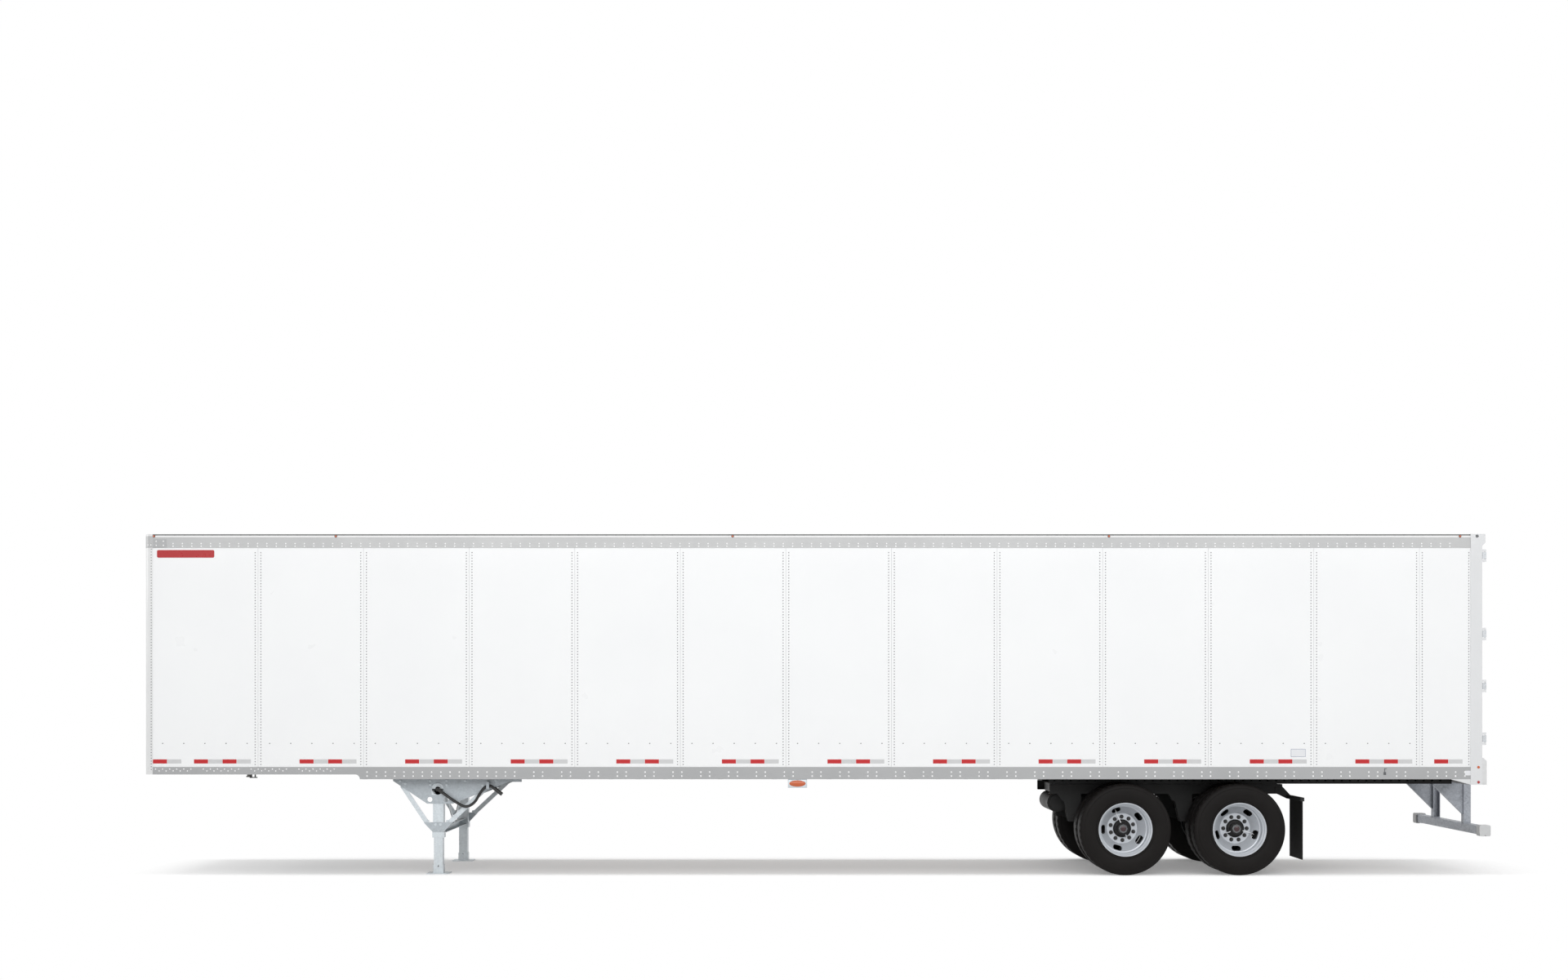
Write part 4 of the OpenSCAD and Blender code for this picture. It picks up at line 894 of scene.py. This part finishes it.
def tyre_outline(radius, bead, half_width, rim_half):
    """Half a section from the bead to the middle of the tread, with its grooves."""
    mid = (radius + bead) / 2
    reach = mid - bead
    points = [(bead, rim_half - 4 * MM), (bead + 13 * MM, rim_half + 2 * MM)]
    for turn in range(-75, 80, 10):
        a = math.radians(turn)
        bulge = rim_half + 3 * MM + (half_width - rim_half - 3 * MM) * math.cos(a)
        points.append((mid + reach * 0.92 * math.sin(a), bulge))
        if turn == -55:
            points += [(mid - reach * 0.70, bulge + 9 * MM), (mid - reach * 0.65, bulge + 9 * MM)]
        if turn == 35:
            points += [(mid + reach * 0.56, bulge - 4 * MM), (mid + reach * 0.60, bulge - 4 * MM)]
    shoulder = half_width - 30 * MM
    points += [(radius - 12 * MM, shoulder + 6 * MM), (radius - 3 * MM, shoulder - 4 * MM)]
    for groove in (72 * MM, 26 * MM):
        wide = 5.5 * MM
        deep = 14 * MM
        points += [(radius, groove + wide), (radius - deep, groove + wide - 2 * MM),
                   (radius - deep, groove - wide + 2 * MM), (radius, groove - wide)]
    points.append((radius, 0))
    return points


def make_tyres(wheel):
    node = f"tyres_{wheel}"
    corner, opposite = low(node), high(node)
    centre = (corner + opposite) / 2
    radius = (opposite.z - corner.z) / 2
    width = 279 * MM
    half = tyre_outline(radius, 312 * MM, width / 2, 104 * MM)
    outline = half + [(r, -h) for r, h in reversed(half[:-1])]
    form = bmesh.new()
    steps = 90
    offset = (opposite.y - corner.y - width) / 2
    for side in (-1, 1):
        spun(form, outline, centre + Vector((0, side * offset, 0)), "Y", steps)
    bmesh.ops.remove_doubles(form, verts=form.verts, dist=1e-6)
    shoulder = []
    for face in form.faces:
        middle = face.calc_center_median()
        reach = math.hypot(middle.x - centre.x, middle.z - centre.z)
        along = abs(abs(middle.y - centre.y) - offset)
        turn = math.atan2(middle.z - centre.z, middle.x - centre.x) % math.tau
        tooth = int(turn / math.tau * steps) % 2
        if tooth and reach > radius - 9 * MM and 78 * MM < along < 110 * MM:
            shoulder.append(face)
    bmesh.ops.inset_individual(form, faces=shoulder, thickness=4 * MM, depth=-5 * MM)
    obj = make_piece(f"tyre_pair_{wheel}", form, "tyre", f"{wheel}_wheels", smooth=32)
    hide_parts(node)


def make_wheel_trim(wheel):
    """Wheel nuts, hub cap, bolts and inflation tubes on the outer disc."""
    corner, opposite = low(f"rims_{wheel}"), high(f"rims_{wheel}")
    centre = (corner + opposite) / 2
    side = LEFT if "left" in wheel else RIGHT
    axis = "-Y" if side == LEFT else "Y"
    disc_y = centre.y + side * 11 * MM
    body = f"{wheel}_wheels"
    turn = math.radians(HOLE_TURN[wheel.split("_")[0]])
    bolt_circle = 142.9 * MM

    def around(radius, angle, y):
        return Vector((centre.x + radius * math.cos(angle), y, centre.z + radius * math.sin(angle)))

    form = bmesh.new()
    for i in range(10):
        a = turn + math.tau * (i + 0.5) / 10
        add_cone(form, around(bolt_circle, a, disc_y), axis, 25 * MM, 24 * MM, 5 * MM, 20)
        add_cone(form, around(bolt_circle, a, disc_y + side * 5 * MM), axis, 18 * MM, 17 * MM,
                 20 * MM, 6)
        add_cone(form, around(bolt_circle, a, disc_y + side * 25 * MM), axis, 10 * MM, 9 * MM,
                 12 * MM, 12)
    make_piece(f"wheel_nuts_{wheel}", form, "black_paint", body, smooth=30)
    cap = high(f"hub_{wheel}").y if side == RIGHT else low(f"hub_{wheel}").y
    form = bmesh.new()
    ring = [(36 * MM, -2 * MM), (36 * MM, 3 * MM), (46 * MM, 4 * MM), (54 * MM, 0), (56 * MM, -12 * MM)]
    spun(form, [(r, side * h) for r, h in ring], Vector((centre.x, cap, centre.z)), "Y", 8)
    make_piece(f"cap_ring_{wheel}", form, "cap_grey", body, smooth=20)
    form = bmesh.new()
    add_cone(form, (centre.x, cap, centre.z), axis, 36 * MM, 30 * MM, 3 * MM, 28)
    make_piece(f"cap_window_{wheel}", form, "hub_red", body, smooth=30)
    form = bmesh.new()
    for i in range(6):
        add_cone(form, around(68 * MM, math.tau * i / 6, cap - side * 62 * MM), axis, 8 * MM,
                 7.5 * MM, 8 * MM, 6)
    make_piece(f"cap_bolts_{wheel}", form, "cap_grey", body, smooth=30)
    for i, reach in enumerate((236 * MM, 128 * MM)):
        angle = math.radians(TUBE_TURNS[wheel.split("_")[0]][i])
        path = [around(50 * MM, angle, cap - side * 20 * MM),
                around(90 * MM, angle, cap - side * 12 * MM),
                around(0.8 * reach, angle + 0.04, disc_y + side * 34 * MM),
                around(reach, angle, disc_y + side * 20 * MM),
                around(reach + 6 * MM, angle, disc_y - side * 4 * MM)]
        bent_tube(f"inflation_tube_{i}_{wheel}", path, 5 * MM, "tube_braid", body)


def underbody_pieces():
    """Dust shields behind the brake drums, black and wide so they also stand as painted shade behind the
    wheels' hand holes.
    """
    for wheel in WHEELS:
        side = LEFT if "left" in wheel else RIGHT
        hub_low, hub_high = low(f"hub_{wheel}"), high(f"hub_{wheel}")
        centre = (hub_low + hub_high) / 2
        inner = hub_high.y + 6 * MM if side == LEFT else hub_low.y - 6 * MM
        form = bmesh.new()
        # the shield reaches out to 293 mm so its black face fills the view through the hand holes as painted
        # shade
        ring = [(100 * MM, 0), (205 * MM, 0), (236 * MM, 14 * MM), (293 * MM, 14 * MM),
                (293 * MM, 17 * MM), (235 * MM, 17 * MM), (204 * MM, 3 * MM), (100 * MM, 3 * MM)]
        spun(form, [(r, -side * h) for r, h in ring], Vector((centre.x, inner, centre.z)), "Y", 40)
        make_piece(f"dust_shield_shade_disc_{wheel}", form, "underframe_paint", "bogie", smooth=30)


def hanger_wings():
    """Wing plates that widen the front of each suspension hanger under the slider frame."""
    outer, top = high("suspension_hangers").y, low("slider_frame").z
    spread = low("hub_rear_left").x - low("hub_front_left").x
    outline = [(-82, 0), (2, 0), (2, -90), (-15, -90)]
    form = bmesh.new()
    for front in (low("suspension_hangers").x, low("suspension_hangers").x + spread):
        for y in (outer - 24 * MM, outer - 120 * MM):
            corners = [form.verts.new((front + x * MM, y, top + z * MM)) for x, z in outline]
            sheet = bmesh.ops.extrude_face_region(form, geom=[form.faces.new(corners)])["geom"]
            lifted = [item for item in sheet if isinstance(item, bmesh.types.BMVert)]
            bmesh.ops.translate(form, verts=lifted, vec=(0, 10 * MM, 0))
    bmesh.ops.recalc_face_normals(form, faces=form.faces)
    on_both_sides(make_piece("hanger_wings", form, "underframe_paint", "bogie", smooth=30))


def bent_tube(name, path, radius, finish, body, sides=2):
    """A round bar or tube along a smooth line of points."""
    data = bpy.data.curves.new(name, "CURVE")
    data.dimensions = "3D"
    data.bevel_depth = radius
    data.bevel_resolution = sides
    data.resolution_u = 8
    data.use_fill_caps = True
    line = data.splines.new("NURBS")
    line.points.add(len(path) - 1)
    for point, place in zip(line.points, path):
        point.co = (*place, 1)
    line.order_u = 3
    line.use_endpoint_u = True
    data.materials.append(FINISHES[finish])
    tube = bpy.data.objects.new(name, data)
    bpy.context.collection.objects.link(tube)
    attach(tube, body)
    return tube


# ---- landing gear ----

def hex_bolts(name, places, axis, finish, body="van", r=14 * MM, both=True):
    form = bmesh.new()
    sign = -1 if axis.startswith("-") else 1
    step = Vector([sign * (axis[-1] == letter) for letter in "XYZ"])
    for place in places:
        place = Vector(place)
        add_cone(form, place, axis, 1.45 * r, 1.35 * r, 0.2 * r, 20)
        add_cone(form, place + step * 0.2 * r, axis, r, 0.96 * r, 0.75 * r, 6)
    obj = make_piece(name, form, finish, body, smooth=30)
    if both:
        on_both_sides(obj)
    return obj


def landing_gear_trim():
    top = RAIL_LOW - 2 * MM
    spots = [(LEG_X + dx * MM, LEG_FACE, top - dz * MM) for dx, dz in
             ((-96, 30), (-96, 78), (105, 30), (105, 78), (-400, 62), (-460, 30), (330, 30),
              (545, 86), (610, 58), (700, 26), (-122, 520), (112, 520), (-30, 560), (30, 560))]
    hex_bolts("wing_bolts", spots, "Y", "galvanised", r=11 * MM)
    shaft_z = top - 125 * MM
    form = bmesh.new()
    add_box(form, (LEG_X - 78 * MM, LEG_FACE, shaft_z - 74 * MM), (LEG_X + 70 * MM, LEG_FACE + 5 * MM, shaft_z))
    add_cone(form, (LEG_X - 4 * MM, LEG_FACE, shaft_z), "Y", 74 * MM, 72 * MM, 5 * MM, 40)
    on_both_sides(make_piece("gearbox_plates", form, "galvanised", "van", smooth=30))


def crank_tube():
    """The folded crank: a yoke on the shaft and a round bar bent along one smooth line."""
    y = -(LEG_FACE + 46 * MM)
    top = RAIL_LOW - 2 * MM
    bends = [(62, 172), (83, 188), (250, 304), (353, 352), (456, 292), (510, 186),
             (575, 100), (640, 82), (705, 128), (760, 172)]
    bar = bent_tube("crank_bar", [(LEG_X + dx * MM, y, top - dz * MM) for dx, dz in bends],
                    17 * MM, "black_paint", "van", sides=4)
    handle = bent_tube("crank_handle", [(LEG_X + dx * MM, y, top - dz * MM) for dx, dz in
                                        ((690, 116), (735, 152), (786, 192))],
                       23 * MM, "black_paint", "van", sides=4)
    shaft_z = top - 125 * MM
    form = bmesh.new()
    add_cone(form, (LEG_X, -LEG_FACE, shaft_z), "-Y", 26 * MM, 26 * MM, 14 * MM)
    add_cone(form, (LEG_X, -LEG_FACE, shaft_z), "-Y", 19 * MM, 19 * MM, 64 * MM)
    bmesh.ops.create_uvsphere(form, u_segments=20, v_segments=12, radius=27 * MM,
                              matrix=Matrix.Translation((LEG_X, y, shaft_z)))
    slope = Matrix.Translation((LEG_X + 38 * MM, y, shaft_z - 28 * MM)) @ \
        Matrix.Rotation(math.radians(39), 4, "Y")
    for lift in (-14 * MM, 14 * MM):
        arm = slope @ Matrix.Translation((0, lift, 0)) @ Matrix.Diagonal((0.078, 0.008, 0.036, 1))
        bmesh.ops.create_cube(form, size=1.0, matrix=arm)
    add_cone(form, (LEG_X + 62 * MM, y - 22 * MM, shaft_z - 47 * MM), "Y", 8 * MM, 8 * MM, 44 * MM, 16)
    inner = low("landing_legs").y + 190 * MM
    add_cone(form, (LEG_X, inner, shaft_z), "Y", 14 * MM, 14 * MM, -2 * inner)
    yoke = make_piece("crank_yoke", form, "black_paint", "van", smooth=30)
    for obj in (bar, handle, yoke):
        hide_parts("landing_gear_crank")


# ---- doors and rear ----

def door_trim(name, side):
    body = f"{name}_door"
    inner, outer = low(body), high(body)
    face = outer.x
    near, far = sorted((abs(inner.y), abs(outer.y)))
    axis_y = lambda y: side * y
    form = bmesh.new()
    for a, b in (((face - 45 * MM, near - 5 * MM, inner.z), (face + 2 * MM, near + 10 * MM, outer.z)),
                 ((face - 30 * MM, far - 10 * MM, inner.z), (face + 1 * MM, far + 4 * MM, outer.z)),
                 ((face - 30 * MM, near, inner.z - 6 * MM), (face + 1 * MM, far, inner.z + 10 * MM)),
                 ((face - 30 * MM, near, outer.z - 10 * MM), (face + 1 * MM, far, outer.z + 6 * MM))):
        add_box(form, (a[0], axis_y(a[1]), a[2]), (b[0], axis_y(b[1]), b[2]))
    make_piece(f"{name}_door_seal", form, "rubber", body)
    wide = far - near
    spots_z = int((outer.z - inner.z - 0.1) / (150 * MM))
    for i, y in enumerate((near + 28 * MM, far - 24 * MM)):
        rivets(f"{name}_door_rivets_{i}", (face, axis_y(y), inner.z + 60 * MM), "X",
               "white_panel", body=body, r=6 * MM, rows=[(spots_z, (0, 0, 150 * MM))], both=False)
    tape_z = inner.z + 62 * MM
    count = int((wide - 60 * MM) / (2 * TAPE_CELL))
    for finish, cell in (("red_tape", 0), ("silver_tape", 1)):
        form = bmesh.new()
        start = near + 40 * MM + cell * TAPE_CELL
        add_box(form, (face, axis_y(start), tape_z),
                (face + 0.8 * MM, axis_y(start + TAPE_CELL - 3 * MM), tape_z + 50 * MM))
        strip = make_piece(f"{name}_door_{finish}", form, finish, body)
        repeat(strip, count, (0, side * 2 * TAPE_CELL, 0))
    strap_front = high(f"{name}_door").x
    hinge_low = [FLOOR_TOP + 278 * MM, FLOOR_TOP + 912 * MM, FLOOR_TOP + 1539 * MM,
                 ROOF_Z - 335 * MM]
    places = [(strap_front + 8 * MM, axis_y(far - dy), z + dz) for z in hinge_low
              for dy in (70 * MM, 170 * MM, 250 * MM) for dz in (40 * MM, 110 * MM)]
    hex_bolts(f"{name}_hinge_bolts", places, "X", "door_steel", body=body, r=9 * MM, both=False)


def guard_tape():
    corner, opposite = low("underride_guard"), high("underride_guard")
    face = high("guard_end_caps").x - 16 * MM
    z = corner.z + 26 * MM
    count = int((opposite.y - corner.y) / (2 * TAPE_CELL))
    start = -count * TAPE_CELL
    for finish, cell in (("red_tape", 0), ("silver_tape", 1)):
        form = bmesh.new()
        y = start + cell * TAPE_CELL
        add_box(form, (face, y, z), (face + 0.8 * MM, y + TAPE_CELL - 3 * MM, z + 50 * MM))
        strip = make_piece(f"guard_{finish}", form, finish, "van")
        repeat(strip, count, (0, 2 * TAPE_CELL, 0))


make_camera()
make_world()
make_floor()
area_light("key", (0, -20, 9), (0, 0, 2.0), (30, 8), 1740)
area_light("tail_fill", (18, -6, 7), (7, 0, 2), (6, 6), 240)
area_light("nose_fill", (-18, -2, 7), (-7, 0, 2), (6, 6), 320)
bpy.context.scene.view_settings.view_transform = "Standard"
dress_frame()
side_rivets()
rail_rivets()
side_tape()
seam_strips()
plates()
small_fittings()
splice_blocks()
underbody_pieces()
hanger_wings()
front_rivets()
side_lamp_pieces()
rear_lamp_rings()
for wheel in WHEELS:
    make_tyres(wheel)
    make_wheel_trim(wheel)
landing_gear_trim()
crank_tube()
door_trim("left", LEFT)
door_trim("right", RIGHT)
guard_tape()
